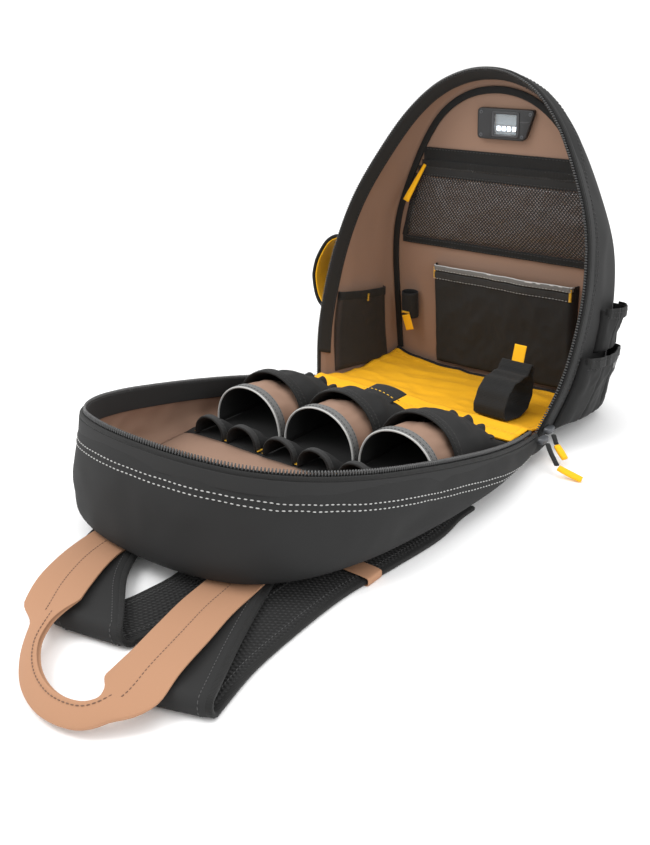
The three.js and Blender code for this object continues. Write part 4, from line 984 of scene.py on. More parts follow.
class Halves(SubAssembly):
    """Both shells: black outsides, tan linings, zip tapes, teeth and the seams along the rims.

    Near the rims, the middles and the sewn panels the cloth lies still.
    """

    RIM_ROWS, MIDDLE_ROWS, SLACK = 4, 8, 0.35
    RIM_SEAMS, COVER_SEAMS, TAPE_SEAM = (20.0, 26.0), (17.5, 22.0), 14.5

    def skin(self, name: str, shell: Shell, place: Callable[[Grid], Grid], depth: float, thickness: float,
             dents: Folds, folds: Folds, inwards: bool, finish: Cloth, *nodes: str) -> Piece:
        """One cloth layer of a half, from its rim over its wall and panel.

        Args:
            name: The piece's name.
            shell: The half's form.
            place: Carries its points into the part's frame.
            depth: Distance in from the outside to the layer's middle, in millimetres.
            thickness: The layer's thickness, in millimetres.
            dents: Dents that both layers of a half share.
            folds: The layer's own folds.
            inwards: Whether its own folds only stand towards the inside.
            finish: Its cloth.
            nodes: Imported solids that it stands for.

        Returns:
            The layer's object.
        """
        grid = place(shell.closed(depth))
        normal = normals_of(grid, True) * (1 if shell is REAR else -1)
        rows = len(grid)
        fade = np.clip(np.arange(rows) / self.RIM_ROWS, 0, 1)[:, None]
        tail = np.ones(rows)
        tail[-self.MIDDLE_ROWS:] = np.linspace(1, 0.25, self.MIDDLE_ROWS)
        own = folds.at(grid)
        if inwards:
            own = -np.maximum(own + self.SLACK * folds.depth, 0)
        if shell is FRONT:
            off_panel = (grid - on_lining(0, 0, 0)) @ LINING_OUT
            free = np.clip(off_panel / 0.03 - 0.25, 0, 1) * np.clip(grid[..., 2] / 0.04 - 1.3, 0, 1)
        else:
            free = np.clip(grid[..., 2] / 0.02 - 1.1, 0, 1)
        grid = grid + normal * ((dents.at(grid) + own) * free * fade * tail[:, None])[..., None]
        piece = thicken(grid_object(name, grid, ring=True, pole=True), thickness * MM)
        self.wear(piece, finish, *nodes)
        return piece

    def zip_side(self, name: str, shell: Shell, place: Callable[[Grid], Grid]) -> None:
        """A zip tape inside a rim, its coil on the rim, and the bound seam outside."""
        zero = place(np.zeros(3))
        line, down, _ = shell.rim_line(4.4, 7)
        line, down = line[8:-8], down[8:-8]
        self.wear(strip(f"{name}_tape", place(line), place(down) - zero, 24 * MM, 1.7 * MM, 0.2),
                  TAPE, f"{name}_zip_tape")
        top, _, away = shell.rim_line(3.2, -5.6)
        turned = unit(place(away) - zero)
        self.wear(self.beads.lay(f"{name}_coil", [place(top)], [turned], TOOTH, COIL, 0.02), COIL)
        edge = shell.rim_line(1.0, -1.0)[0]
        self.wear(cord_tube(f"{name}_rim_binding", place(edge), 2.6 * MM), BLACK_EDGE)
        low, fall, _ = shell.rim_line(-1.1, 8)
        self.wear(strip(f"{name}_rim_tape", place(low), place(fall) - zero, 15 * MM, 1.4 * MM, 0.25), TAPE)

    @staticmethod
    def onto(name: str, line: Grid) -> tuple[Grid, Grid]:
        """The nearest points on a finished skin, just off its surface, and the directions out of it."""
        skin = bpy.data.objects[name].evaluated_get(bpy.context.evaluated_depsgraph_get())
        hits = [skin.closest_point_on_mesh(Vector(point)) for point in line]
        out = np.array([hit[2][:] for hit in hits])
        return np.array([hit[1][:] for hit in hits]) + out * 0.0003, out

    def seams(self) -> None:
        """The rows of stitches round both halves."""
        for name, shell, place, drops, thread in (
            ("rear", REAR, lying, self.RIM_SEAMS, GREY_THREAD),
            ("front", FRONT, STANDING, self.COVER_SEAMS, BLACK_THREAD),
        ):
            rows = [self.onto(f"{name}_outside",
                              place(shell.rim_line(-9, drop)[0])[10:-10]) for drop in drops]
            lines, leans = zip(*rows)
            self.stitch(f"{name}_rim_stitches", lines, leans, thread, TOPSTITCH)
        line, _, out = FRONT.rim_line(6.0, self.TAPE_SEAM)
        lean = unit(STANDING(np.zeros(3)) - STANDING(out))
        self.stitch("front_tape_stitches", [STANDING(line)[12:-12]], [lean[12:-12]], BLACK_THREAD)

    def build(self) -> None:
        """Builds both halves."""
        rear_dents = Folds(0.0034, (0.16, 0.16, 0.11), 1.0)
        rear_creases = Folds(0.0011, (0.05, 0.05, 0.035), 2.0, 0.5)
        self.skin("rear_outside", REAR, lying, 0.75, 1.5, rear_dents, rear_creases, False, BLACK,
                  "rear_shell")
        lining_folds = Folds(0.0026, (0.055, 0.055, 0.04), 3.0, 0.55)
        self.skin("rear_lining", REAR, lying, 2.5, 0.8, rear_dents, lining_folds, True, TAN)
        front_dents = Folds(0.003, (0.13, 0.13, 0.17), 4.0)
        front_creases = Folds(0.001, (0.05, 0.05, 0.06), 5.0, 0.5)
        self.skin("front_outside", FRONT, STANDING, 0.75, 1.5, front_dents, front_creases, False, BLACK,
                  "front_shell")
        front_folds = Folds(0.0017, (0.05, 0.05, 0.1), 6.0, 0.6)
        self.skin("front_lining", FRONT, STANDING, 2.5, 0.8, front_dents, front_folds, True, TAN)
        self.zip_side("rear", REAR, lying)
        self.zip_side("front", FRONT, STANDING)
        self.seams()


@dataclass(frozen=True)
class Arch:
    """An arched pocket on the board. Sizes are in millimetres."""

    centre: float
    width: float
    height: float
    mouth: float
    foot: float

    def point(self, y: Grid | float, angle: Grid | float, depth: float = 0.0) -> Grid:
        """Points on the pocket's outside: angle goes from its right foot over the top."""
        y, angle = np.broadcast_arrays(np.asarray(y, float), np.asarray(angle, float))
        along = (self.mouth - y) / (self.mouth - self.foot)
        places = (0, 0.3, 0.65, 1)
        wide = np.interp(along, places, (1, 0.99, 0.97, 0.94)) * self.width / 2
        tall = 4.3 + (self.height - 4.3) * np.interp(along, places, (1, 0.93, 0.6, 0))
        x = self.centre + (wide - depth) * np.cos(angle)
        z = 27.6 + (tall - depth) * np.sin(angle) ** 0.8
        return np.stack([x, y, z], -1)

    def out(self, y: float, angle: Grid) -> Grid:
        """Outward directions at a station."""
        step = 0.02
        around = self.point(y, np.clip(angle + step, 0, math.pi)) - self.point(y,
                                                                               np.clip(angle - step, 0,
                                                                                       math.pi))
        along = self.point(y + 1, angle) - self.point(y - 1, angle)
        return unit(np.cross(along, around)) * -1


class ToolPockets(SubAssembly):
    """The board with its three columns of tan and black arched pockets, and the small ones before them."""

    PITCH = 105.0
    WALL = 1.8

    def black(self, column: int) -> Arch:
        """The black pocket of a column."""
        return Arch((column - 1) * self.PITCH, 103, 63, -170, -54)

    def tan(self, column: int) -> Arch:
        """The tan pocket of a column, inside its black one."""
        return Arch((column - 1) * self.PITCH, 97.6, 55, -210, -64)

    def small(self, index: int) -> Arch:
        """One of the six small pockets."""
        column, side = divmod(index, 2)
        return Arch((column - 1) * self.PITCH + (side - 0.5) * 50, 44, 25, -250, -217)

    def pocket(self, name: str, arch: Arch, outside: Cloth, inside: Cloth, trim: Cloth, edge: Cloth,
               slot: str, seed: float) -> None:
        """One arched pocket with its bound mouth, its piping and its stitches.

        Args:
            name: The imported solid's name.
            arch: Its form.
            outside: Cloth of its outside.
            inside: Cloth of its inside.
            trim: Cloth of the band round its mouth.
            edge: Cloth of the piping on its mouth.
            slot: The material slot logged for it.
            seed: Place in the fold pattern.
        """
        angle = np.linspace(0, math.pi, 49)
        rows = np.linspace(arch.mouth, arch.foot, 34)
        grid = lying(np.array([arch.point(y, angle, self.WALL / 2) for y in rows]))
        normal = normals_of(grid, False)
        fade = np.sin(angle)[None, :] ** 0.5 * np.clip(np.arange(34) / 5, 0.15, 1)[:, None]
        depth = min(0.0022, arch.height * 0.00004)
        for fold in (Folds(depth, (0.045, 0.07, 0.045), seed, 0.35),
                     Folds(depth * 0.4, (0.02, 0.03, 0.02), seed + 3, 0.6)):
            grid = grid + normal * (fold.at(grid) * fade)[..., None]
        piece = thicken(grid_object(name + "_cloth", grid), self.WALL * 0.8 * MM, second=True)
        self.wear(piece, inside, name, slot=slot, second=outside)
        area = area_of(grid)
        small = arch.width < 60
        band_width = 7.0 if small else 11.0
        turn = np.linspace(0.012, math.pi - 0.012, 41)
        path = lying(arch.point(arch.mouth + band_width / 2, turn, -0.5))
        side = np.broadcast_to([0.0, 1.0, 0.0], path.shape)
        self.wear(strip(name + "_band", path, side, band_width * MM, 1.3 * MM, 0.25), trim, slot=slot)
        self.wear(cord_tube(name + "_edge", lying(arch.point(arch.mouth - 0.4, turn, 0.6)), 1.15 * MM),
                  edge, slot=slot)
        lean = arch.out(arch.mouth + 6, turn)
        rows_at = (band_width - 1.6,) if small else (2.6, band_width - 1.8)
        lines = [lying(arch.point(arch.mouth + y, turn, -1.25)) for y in rows_at]
        self.stitch(name + "_stitches", lines, [lean] * len(lines),
                    BLACK_THREAD if trim is not GREY else DARK_GREY,
                    slot=slot)

    def board(self) -> None:
        """The padded board, tan at its handle end and black under the pockets."""
        panel = inset(REAR.outline(*BACK_PANEL, REAR_SHARES), 20)
        half = smooth(panel[: 23], 3)
        ys = np.linspace(12.5, 299.5, 60)
        order = np.argsort(half[:, 1])
        wide = np.interp(ys, half[order, 1], half[order, 0])
        for name, near, far, finish, nodes in (
            ("pocket_base", 12.5, 251, BLACK, ["pocket_board"]),
            ("board_end", 251.6, 299.5, TAN, []),
        ):
            at = np.linspace(near, far, max(6, int((far - near) / 5)))
            w = np.interp(at, ys, wide)
            across = np.linspace(-1, 1, 61)
            crown = 1 - 0.5 * np.abs(across) ** 14
            top = np.array([np.stack([across * w[i], np.full(61, -y), 19.8 + 7.0 * crown], -1)
                            for i, y in enumerate(at)])
            grid = lying(top)
            grid[..., 2] += Folds(0.0007, (0.06, 0.05, 0.05), 12.0, 0.4).at(grid) - 0.0006
            under = grid.copy()
            under[..., 2] = 0.0197
            loops = np.concatenate([grid, under[:, ::-1]], axis=1)
            piece = grid_object(name, loops, ring=True)
            piece = self.cap_ends(piece, loops.shape[0], loops.shape[1])
            self.wear(piece, finish, *nodes)

    @staticmethod
    def cap_ends(piece: Piece, rows: int, cols: int) -> Piece:
        """Closes the two ends of a ring of rows, as strips between its top and its underside."""
        half = cols // 2
        mesh = piece.data
        points = np.array([v.co[:] for v in mesh.vertices])
        faces = [tuple(p.vertices) for p in mesh.polygons]
        for row, flip in ((0, False), (rows - 1, True)):
            start = row * cols
            for k in range(half - 1):
                quad = (start + k, start + k + 1, start + cols - 2 - k, start + cols - 1 - k)
                faces.append(quad[::-1] if not flip else quad)
        old = [tuple(d.uv) for d in mesh.uv_layers[0].data]
        uvs = old + [(0.0, 0.0)] * (sum(len(f) for f in faces) - len(old))
        name = piece.name
        bpy.data.objects.remove(piece)
        again = mesh_object(name, points, faces, np.array(uvs))
        again.data.validate()
        turn_out(again)
        return again

    def elastic(self, column: int, name: str) -> None:
        """A ruffled elastic band over an outer pocket, its loops standing up."""
        arch = self.black(column)
        steps = 160
        share = np.linspace(0, 1, steps + 1)
        angle = (150 + (24 - 150) * share) * DEG
        rise = 13 * (1 - np.cos(2 * math.pi * 5 * share)) / 2
        rise = rise ** 1.15 / 13 ** 0.15
        at = arch.point(-92, angle)
        out = arch.out(-92, angle)
        turned = rise * 0.18 * np.sin(2 * math.pi * 5 * share)
        tangent = unit(np.gradient(at, axis=0))
        path = lying(at + out * (1.7 + rise)[:, None] + tangent * turned[:, None])
        path = path + np.array([0, 0.0008, 0]) * np.sin(share * 61)[:, None]
        self.wear(strip(name + "_ruffle", path, [0, 1, 0], 24 * MM, 1.5 * MM, 0.3), BLACK_WEB, name)
        lines = [path + out * 0.0008 + np.array([0, y, 0]) for y in (-0.009, 0.009)]
        self.stitch(name + "_stitches", lines, [out] * 2, BLACK_THREAD)

    def tab(self) -> None:
        """The black tab on the middle pocket, with its yellow stitches."""
        arch = self.black(1)
        angle = np.linspace(108, 58, 40) * DEG
        path = lying(arch.point(-96, angle, -1.7))
        self.wear(strip("hinge_tab_cloth", path, [0, 1, 0], 44 * MM, 1.5 * MM, 0.2), BLACK_WEB, "hinge_tab")
        out = arch.out(-96, angle)
        lines = [lying(arch.point(-96 + y, angle[2:-2], -2.6)) for y in (-8, 7)]
        self.stitch("hinge_tab_stitches", lines, [out[2:-2]] * 2, YELLOW_THREAD, TOPSTITCH)

    def feet(self) -> None:
        """Bartacks at the feet of the pockets."""
        lines, leans = [], []
        for index in range(6):
            arch = self.small(index)
            for side in (-1, 1):
                x = arch.centre + side * (arch.width / 2 + 1.2)
                lines.append(lying(np.array([[x, -249, 28.6], [x, -241, 28.6]])))
                leans.append(UPWARDS)
        self.stitch("small_bartacks", lines, leans, YELLOW_THREAD, BARTACK)
        lines, leans = [], []
        for k in range(4):
            x = (k - 1.5) * self.PITCH
            lines.append(lying(np.array([[x, -213, 28.7], [x, -196, 28.7]])))
            leans.append(UPWARDS)
        self.stitch("pocket_bartacks", lines, leans, DARK_GREY, BARTACK)

    def build(self) -> None:
        """Builds the board, the pockets and what is sewn on them."""
        self.board()
        for column in range(3):
            number = column + 1
            self.pocket(f"black_pocket_{number}", self.black(column), BLACK, BLACK, BLACK_WEB, BLACK_EDGE,
                        "black_cloth", 20 + column)
            self.pocket(f"tan_pocket_{number}", self.tan(column), TAN, BLACK, GREY, PALE,
                        "tan_lining", 30 + column)
        for index in range(6):
            self.pocket(f"small_pocket_{index + 1}", self.small(index), BLACK, BLACK, DARK_GREY, BLACK_EDGE,
                        "black_cloth", 40 + index)
        self.elastic(0, "elastic_loops_left")
        self.elastic(2, "elastic_loops_right")
        self.tab()
        self.feet()


def area_of(grid: Grid) -> float:
    """Area of a grid of points."""
    a, b = grid[1:, 1:] - grid[:-1, :-1], grid[1:, :-1] - grid[:-1, 1:]
    return float(np.linalg.norm(np.cross(a, b), axis=-1).sum() / 2)


def declare_sheet(piece: Piece, grid: Grid) -> None:
    """Logs the flat size that a cloth piece's grid has.

    Args:
        piece: The cloth.
        grid: Its points, rows by columns, in metres.
    """
    wide = float(np.linalg.norm(np.diff(grid, axis=1), axis=2).sum(1).max())
    long = float(np.linalg.norm(np.diff(grid, axis=0), axis=2).sum(0).max())
    area = area_of(grid)
    flat = (round(wide, 4), round(long, 4))
    LOG.info("%s: flat %s m", piece.name, flat)


class Floor(SubAssembly):
    """The yellow floor, which lies on the base and runs over the hinge onto the pocket board."""

    HALF = 156.0

    def line(self) -> Grid:
        """The floor's section from its rear edge to its front edge, in metres."""
        back = STANDING(np.array([[0, 179.0, 4.8], [0, 97, 4.8], [0, 0.3, 4.8]]))
        front = lying(np.array([[0, -6, 29.1], [0, -18, 29.1], [0, -50, 28.8]]))
        return np.concatenate([back, front])

    def build(self) -> None:
        """Builds the cloth, its bound edges and its stitches."""
        line = even(smooth(self.line(), 8), 64)
        across = np.linspace(-1, 1, 73) * self.HALF * MM
        grid = line[:, None, :] + across[None, :, None] * ACROSS
        grid[..., 0] = ORIGIN[0] + across[None, :]
        far = np.linspace(1, 0, 64)[:, None]
        corner = np.clip(far * 2.6 - 1.55, 0, 1) ** 2 * np.clip(-across / (self.HALF * MM) * 2.2 - 1.15, 0,
                                                                1)[None, :] ** 2
        folds = Folds(0.0021, (0.09, 0.05, 0.05), 51.0, 0.45).at(grid)
        creases = Folds(0.0008, (0.04, 0.03, 0.03), 52.0, 0.7).at(grid)
        grid[..., 2] += np.maximum(folds, -0.0004) + np.maximum(creases, -0.0002) + corner * 0.014
        piece = thicken(grid_object("floor_cloth", grid), 1.7 * MM)
        self.wear(piece, YELLOW, "floor_panel")
        declare_sheet(piece, grid)
        self.wear(cord_tube("floor_rear_binding", grid[0] + np.array([0, 0.001, 0.0006]), 2.6 * MM),
                  BLACK_EDGE, "floor_binding")
        self.wear(strip("floor_front_hem", grid[-2] + np.array([0, 0, 0.0009]), [0, 1, 0.0], 9 * MM,
                        1 * MM, 0.3),
                  YELLOW)
        lift = np.array([0, 0, 0.0012])
        lines = [grid[row] + lift for row in (3, 58)] + [grid[3:-3, col] + lift for col in (2, -3)]
        self.stitch("floor_stitches", lines, [UPWARDS] * 4, YELLOW_THREAD)


class WorkLight(SubAssembly):
    """The work light near the top of the lining."""

    X, UP = 14.0, 358.0

    def place(self, flat: Grid, lift: float) -> Grid:
        """Points of the light's face plane in metres."""
        flat = np.asarray(flat, float)
        return on_lining(self.X + flat[..., 0], self.UP + flat[..., 1], np.full(flat.shape[:-1], lift))

    def face(self, count: int, shrink: float) -> Grid:
        """The housing's rounded outline, its right side slanting in at the foot."""
        corners = np.array([(-40, -19), (27, -19), (40, 19), (-40, 19)], float)
        corners = inset(corners, shrink)
        out = []
        for k in range(4):
            a, b, c = corners[k - 1], corners[k], corners[(k + 1) % 4]
            before, after = unit(a - b), unit(c - b)
            for t in np.linspace(0, 1, 7):
                out.append(b + before * 5 * (1 - t) ** 2 + after * 5 * t ** 2)
        ring = np.array(out + out[:1])
        return even(ring, count + 1)[:-1]

    def ring(self, name: str, outer: Grid, inner: Grid, low: float, high: float) -> Piece:
        """A flat ring between two outlines with the same number of points, with rounded edges."""
        rows = [(outer, low), (outer, high - 0.9), (outer + (inner - outer) * 0.03, high - 0.25),
                (outer + (inner - outer) * 0.09, high), (outer + (inner - outer) * 0.9, high),
                (inner, high - 0.5), (inner, low)]
        grid = np.array([self.place(o, lift) for o, lift in rows])
        count = grid.shape[1]
        faces = []
        for r in range(len(rows)):
            s = (r + 1) % len(rows)
            for c in range(count):
                d = (c + 1) % count
                faces.append((r * count + c, r * count + d, s * count + d, s * count + c))
        piece = mesh_object(name, grid, faces,
                            np.array([grid.reshape(-1, 3)[i][[0, 2]] for f in faces for i in f]))
        turn_out(piece)
        return piece

    def box(self, name: str, x: float, up: float, width: float, height: float, low: float, high: float,
            round_by: float = 0.5) -> Piece:
        """A small block on the lining with rounded edges."""
        w, h = width / 2, height / 2
        flat = [(-w, -h), (w, -h), (w, h), (-w, h)]
        points = np.concatenate([self.place(np.array(flat) + (x, up), lift) for lift in (low, high)])
        piece = mesh_object(name, points, BOX_FACES, np.zeros((24, 2)))
        turn_out(piece)
        bevel = piece.modifiers.new("edges", "BEVEL")
        bevel.width, bevel.segments = round_by * MM, 3
        return piece

    def screw(self, name: str, x: float, up: float) -> Piece:
        """A countersunk screw head with a hollow drive."""
        profile = ((2.3, 6.9), (2.3, 7.35), (1.9, 7.6), (1.15, 7.65), (1.0, 7.45), (0.9, 6.95), (0.0, 6.9))
        turn = np.linspace(0, 2 * math.pi, 24, endpoint=False)
        rows = [self.place(np.stack([x + r * np.cos(turn), up + r * np.sin(turn)], -1), lift) for r,
                lift in profile[:-1]]
        piece = grid_object(name, np.array(rows), ring=True, pole=True)
        return thicken(piece, 0.1 * MM)

    def build(self) -> None:
        """Builds the housing, the window, the lamps, the groove and the screws."""
        count = 64
        outer = self.face(count, 0)
        turn = np.arctan2(outer[:, 1], outer[:, 0])
        reach = np.minimum(16 / np.maximum(np.abs(np.cos(turn)), 1e-6),
                           13 / np.maximum(np.abs(np.sin(turn)), 1e-6))
        window = np.stack([np.cos(turn), np.sin(turn)], -1) * reach[:, None]
        self.wear(self.ring("light_body", outer, window, 0.3, 7.3), PLASTIC, "light_housing")
        self.wear(self.ring("light_frame", window * 1.22, window * 0.97, 7.1, 8.2), GLOSS)
        self.wear(self.box("light_window", 0, 0, 31.4, 25.4, 0.3, 3.3), LENS, "light_lens")
        for k in range(4):
            x = -10.8 + k * 7.2
            self.wear(self.box(f"light_cup_{k + 1}", x, -5.5, 6.2, 9, 3.2, 4.0), METAL)
            self.wear(self.box(f"light_lamp_{k + 1}", x, -5.5, 4.4, 5.4, 3.9, 5.0, 1.0), LAMP)
        self.wear(self.box("light_cover", 0, 0, 31.6, 25.6, 6.2, 6.9, 0.2), FILM)
        self.wear(self.box("light_groove", 26.5, 4, 14, 1.6, 7.0, 7.45, 0.3), GLOSS)
        for k, (x, up) in enumerate(((-34.5, 14), (34, 14), (-34.5, -14), (23.5, -14))):
            self.wear(self.screw(f"light_screw_{k + 1}", x, up), METAL)


class LiningPockets(SubAssembly):
    """What is sewn on the standing half's lining: bands, net pocket, document pocket and loops."""

    STRAP_REACH, STRAP_HEIGHT, TAB_SHARE = 70, 60, 0.8

    def flat_strip(self, name: str, ends: Sequence[tuple[float, float]], width: float, lift: float,
                   thickness: float,
                   finish: Cloth, *nodes: str, slot: str = "") -> Piece:
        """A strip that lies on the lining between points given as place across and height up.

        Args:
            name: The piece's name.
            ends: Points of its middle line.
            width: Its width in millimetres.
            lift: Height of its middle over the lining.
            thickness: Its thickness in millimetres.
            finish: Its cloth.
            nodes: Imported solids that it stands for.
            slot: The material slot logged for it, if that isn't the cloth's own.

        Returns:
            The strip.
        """
        flat = even(np.array(ends, float), 40)
        path = on_lining(flat[:, 0], flat[:, 1], lift)
        path = path + LINING_OUT * Folds(0.0004, grey(0.03), len(name)).at(path)[:, None]
        along = unit(np.gradient(path, axis=0))
        piece = strip(name, path, np.cross(along, LINING_OUT), width * MM, thickness * MM, 0.2)
        return self.wear(piece, finish, *nodes, slot=slot)

    def rows(self, name: str, ends: Sequence[Sequence[tuple[float, float]]], lift: float,
             finish: Cloth) -> None:
        """Rows of stitches on the lining."""
        lines = [on_lining(*even(np.array(e, float), 30).T, lift) for e in ends]
        self.stitch(name, lines, [LINING_OUT] * len(lines), finish)

    def net(self) -> None:
        """The zipped net pocket with its clear film."""
        ups = np.linspace(196.3, 283.7, 34)
        half = 147 + (121 - 147) * (ups - 196) / 88
        across = np.linspace(-1, 1, 97)
        lift = 0.9 + 8 * np.sin(math.pi * np.clip((ups - 196) / 88, 0.004, 0.996)) ** 0.7
        ends = 1 - np.clip(np.abs(across) * 1.0, 0, 1) ** 18
        x = across[None, :] * half[:, None]
        up = np.broadcast_to(ups[:, None], x.shape)
        rise = lift[:, None] * (0.15 + 0.85 * ends[None, :])
        grid = on_lining(x, up, rise)
        waves = Folds(0.0016, (0.06, 0.05, 0.035), 61.0, 0.35).at(grid)
        grid = grid + LINING_OUT * (waves * np.sin(np.linspace(0, math.pi, 34))[:, None] ** 0.5)[..., None]
        net = thicken(grid_object("net_cloth", grid), 0.35 * MM)
        self.wear(net, NET, "net_panel")
        declare_sheet(net, grid)
        wrinkle = Folds(0.0018, (0.045, 0.03, 0.018), 62.0, 0.8).at(grid)
        film_grid = grid - LINING_OUT * (0.0021 - 0.5 * wrinkle)[..., None]
        self.wear(thicken(grid_object("net_film", film_grid[1:-1, 1:-1]), 0.15 * MM), FILM, slot="net")
        self.flat_strip("net_zip_lower", [(-119, 289), (119, 289)], 13, 1.8, 1.8, TAPE, "net_zip_band")
        self.flat_strip("net_zip_upper", [(-110, 309), (109, 309)], 24, 1.8, 1.8, BLACK_EDGE,
                        slot="zip_tape")
        self.flat_strip("net_zip_flap", [(-112, 300), (112, 300)], 9, 3.2, 1.2, BLACK_WEB, slot="zip_tape")
        line = on_lining(*even(np.array([(-114, 295.2), (114, 295.2)]), 60).T, 2.7)
        self.wear(self.beads.lay("net_coil", [line], [LINING_OUT], Bead(0.002, 0.0011, 0.0042, 0.0019),
                                 COIL, 0.02),
                  COIL)
        self.rows("net_zip_stitches",
                  [[(-116, 285), (116, 285)], [(-111, 303), (111, 303)], [(-103, 319), (103, 319)]],
                  3.1, BLACK_THREAD)
        self.flat_strip("net_hem_cloth", [(-146, 191), (146, 191)], 10, 1.8, 3.0, BLACK_EDGE, "net_hem")
        self.rows("net_hem_stitches", [[(-143, 188), (143, 188)], [(-143, 194), (143, 194)]], 3.6,
                  BLACK_THREAD)
        for side in (-1, 1):
            self.flat_strip(f"net_side_{'left' if side < 0 else 'right'}",
                            [(side * 143, 196), (side * 119, 284)], 7,
                            3.0, 3.4, BLACK_WEB)
        pull = [(-107, 298, 4.4), (-117, 276, 12), (-129, 250, 20)]
        path = smooth(np.array([on_lining(*p) for p in pull]), 10)
        self.wear(strip("net_pull", path, ACROSS, np.linspace(4, 9.5, len(path)) * MM, 3.4 * MM, 0.6),
                  YELLOW, "net_zip_pull")

    def document(self) -> None:
        """The document pocket with its grey trims and its yellow bartacks."""
        xs, ups = np.linspace(-91, 123, 81), np.linspace(14, 162, 60)
        side = np.minimum(xs + 91, 123 - xs)
        near = 1 - (1 - np.clip(side / 7, 0, 1)) ** 2
        foot = 1 - (1 - np.clip((ups - 14) / 6, 0, 1)) ** 2
        level = 6.0 + 6.0 * (ups - 14) / 148
        rise = 0.6 + level[:, None] * near[None, :] * foot[:, None]
        grid = on_lining(xs[None, :], ups[:, None], rise)
        weight = near[None, :] * foot[:, None]
        folds = layered(grid, Folds(0.0022, (0.06, 0.06, 0.08), 71.0, 0.4),
                        Folds(0.0008, (0.02, 0.02, 0.03), 72.0, 0.6))
        grid = grid + LINING_OUT * (np.maximum(folds, -0.002) * weight)[..., None]
        cloth = thicken(grid_object("document_cloth", grid), 1.6 * MM)
        self.wear(cloth, BLACK, "document_pocket")
        declare_sheet(cloth, grid)
        for name, row, width, finish, lift in (("document_top_trim", 58, 6.5, GREY, 0.0012),
                                               ("document_low_trim", 54, 8.5, DARK_GREY, 0.0011)):
            path = grid[row, 1:-1] + LINING_OUT * lift
            self.wear(strip(name, path, LINING_UP, width * MM, 1.1 * MM, 0.25), finish, slot="grey_cloth")
        self.wear(cord_tube("document_mouth_edge", grid[-1, 1:-1] + LINING_OUT * 0.0002, 1.3 * MM), PALE)
        lines = [grid[row, 2:-2] + LINING_OUT * 0.002 for row in (57, 52)]
        self.stitch("document_stitches", lines, [LINING_OUT] * 2, GREY_THREAD, slot="grey_cloth")
        tacks = []
        for x in (-86, 118):
            tacks.append(on_lining(np.full(9, float(x)), np.linspace(160, 144, 9), 14.6 if x > 0 else 14.2))
        self.stitch("document_bartacks", tacks, [LINING_OUT] * 2, YELLOW_THREAD,
                    Bead(0.0011, 0.0009, 0.005, 0.0016))

    def side_net(self) -> None:
        """The black net pocket on the left wall."""
        share = np.linspace(0, 1, 41)
        heights = np.linspace(7.2, 112, 34)
        grid = np.array([WALL_NET.place(share, h) for h in heights])
        folds = Folds(0.0014, (0.04, 0.05, 0.04), 81.0, 0.4).at(grid)
        weight = np.sin(math.pi * share)[None, :] ** 0.5 * np.linspace(0.2, 1, 34)[:, None]
        grid = grid + ACROSS * (folds * weight)[..., None]
        net = thicken(grid_object("side_net_cloth", grid), 0.8 * MM)
        self.wear(net, replace(NET, name="close_net", thread=0.0022, opening=0.55), "side_net_pocket")
        declare_sheet(net, grid)
        self.wear(strip("side_net_hem", grid[-2] + ACROSS * 0.0008, UPWARDS, 12 * MM, 1.5 * MM, 0.3),
                  BLACK_WEB)
        tack = grid[-5:-1, 20] + ACROSS * 0.0022
        self.stitch("side_net_bartack", [tack], [ACROSS], YELLOW_THREAD,
                    Bead(0.0011, 0.0009, 0.005, 0.0014))

    def loops(self) -> None:
        """The pen loop and the holding strap with their tabs."""
        a = np.linspace(0, 2 * math.pi, 56, endpoint=False)
        lift = 0.3 + 10 + 0.9 + 10 * np.sin(a)
        path = on_lining(-130 + 12 * np.cos(a), 97, lift)
        self.wear(strip("pen_loop_web", path, LINING_UP, 38 * MM, 1.6 * MM, 0.25, ring=True),
                  BLACK_WEB, "pen_loop")
        high = 0.6 + 20 + 1.8 + 0.6
        tab_path = on_lining(np.linspace(-130, -123, 12), np.linspace(84, 62, 12), high)
        self.wear(strip("pen_tab", tab_path, ACROSS, 13.6 * MM, 1.2 * MM, 0.3), YELLOW, "pen_loop_tab")
        tack = on_lining(np.linspace(-136, -124, 8), np.full(8, 88.0), high + 0.6)
        self.stitch("pen_bartack", [tack], [LINING_OUT], YELLOW_THREAD, BARTACK)
        line = [(0.01, 0.07), (0, 0.27), (0.1, 0.54), (0.26, 0.72), (0.5, 0.79), (0.7, 0.86), (0.77, 1),
                (0.84, 1),
                (0.88, 0.8), (0.92, 0.55), (0.91, 0.33), (0.8, 0.1), (0.6, 0), (0.15, 0)]
        low = 3 + 1.2 + 2.4 + 0.6 + 1.2
        turn = -3 * DEG

        def stand(points: Grid) -> Grid:
            """Points of the loop's own frame in metres."""
            x, y, z = points[..., 0], points[..., 1], points[..., 2]
            return STANDING(np.stack([x * math.cos(turn) - y * math.sin(turn) + 96,
                                      x * math.sin(turn) + y * math.cos(turn) + 3, z], -1))

        flat = np.array([(0, b * self.STRAP_REACH, low + u * self.STRAP_HEIGHT) for b, u in line], float)
        side = unit(stand(np.array([1.0, 0, 0])) - stand(np.zeros(3)))
        path = stand(smooth(flat, 8, ring=True))
        path = path + unit(np.cross(unit(np.gradient(path, axis=0)),
                                    side)) * 0.0006 * np.sin(np.arange(len(path)) * 0.7)[:, None]
        self.wear(strip("holding_web", path, side, 44 * MM, 2.2 * MM, 0.2, ring=True),
                  BLACK_WEB, "holding_strap")
        crest = low + self.STRAP_HEIGHT + 1.2 - 0.3
        tab_path = stand(np.stack([np.zeros(12), self.STRAP_REACH * self.TAB_SHARE + np.linspace(0, 4, 12),
                                   crest + np.linspace(-4, 22, 12)], -1))
        self.wear(strip("holding_tab", tab_path, side, 17 * MM, 1.2 * MM, 0.3), YELLOW, "holding_strap_tab")

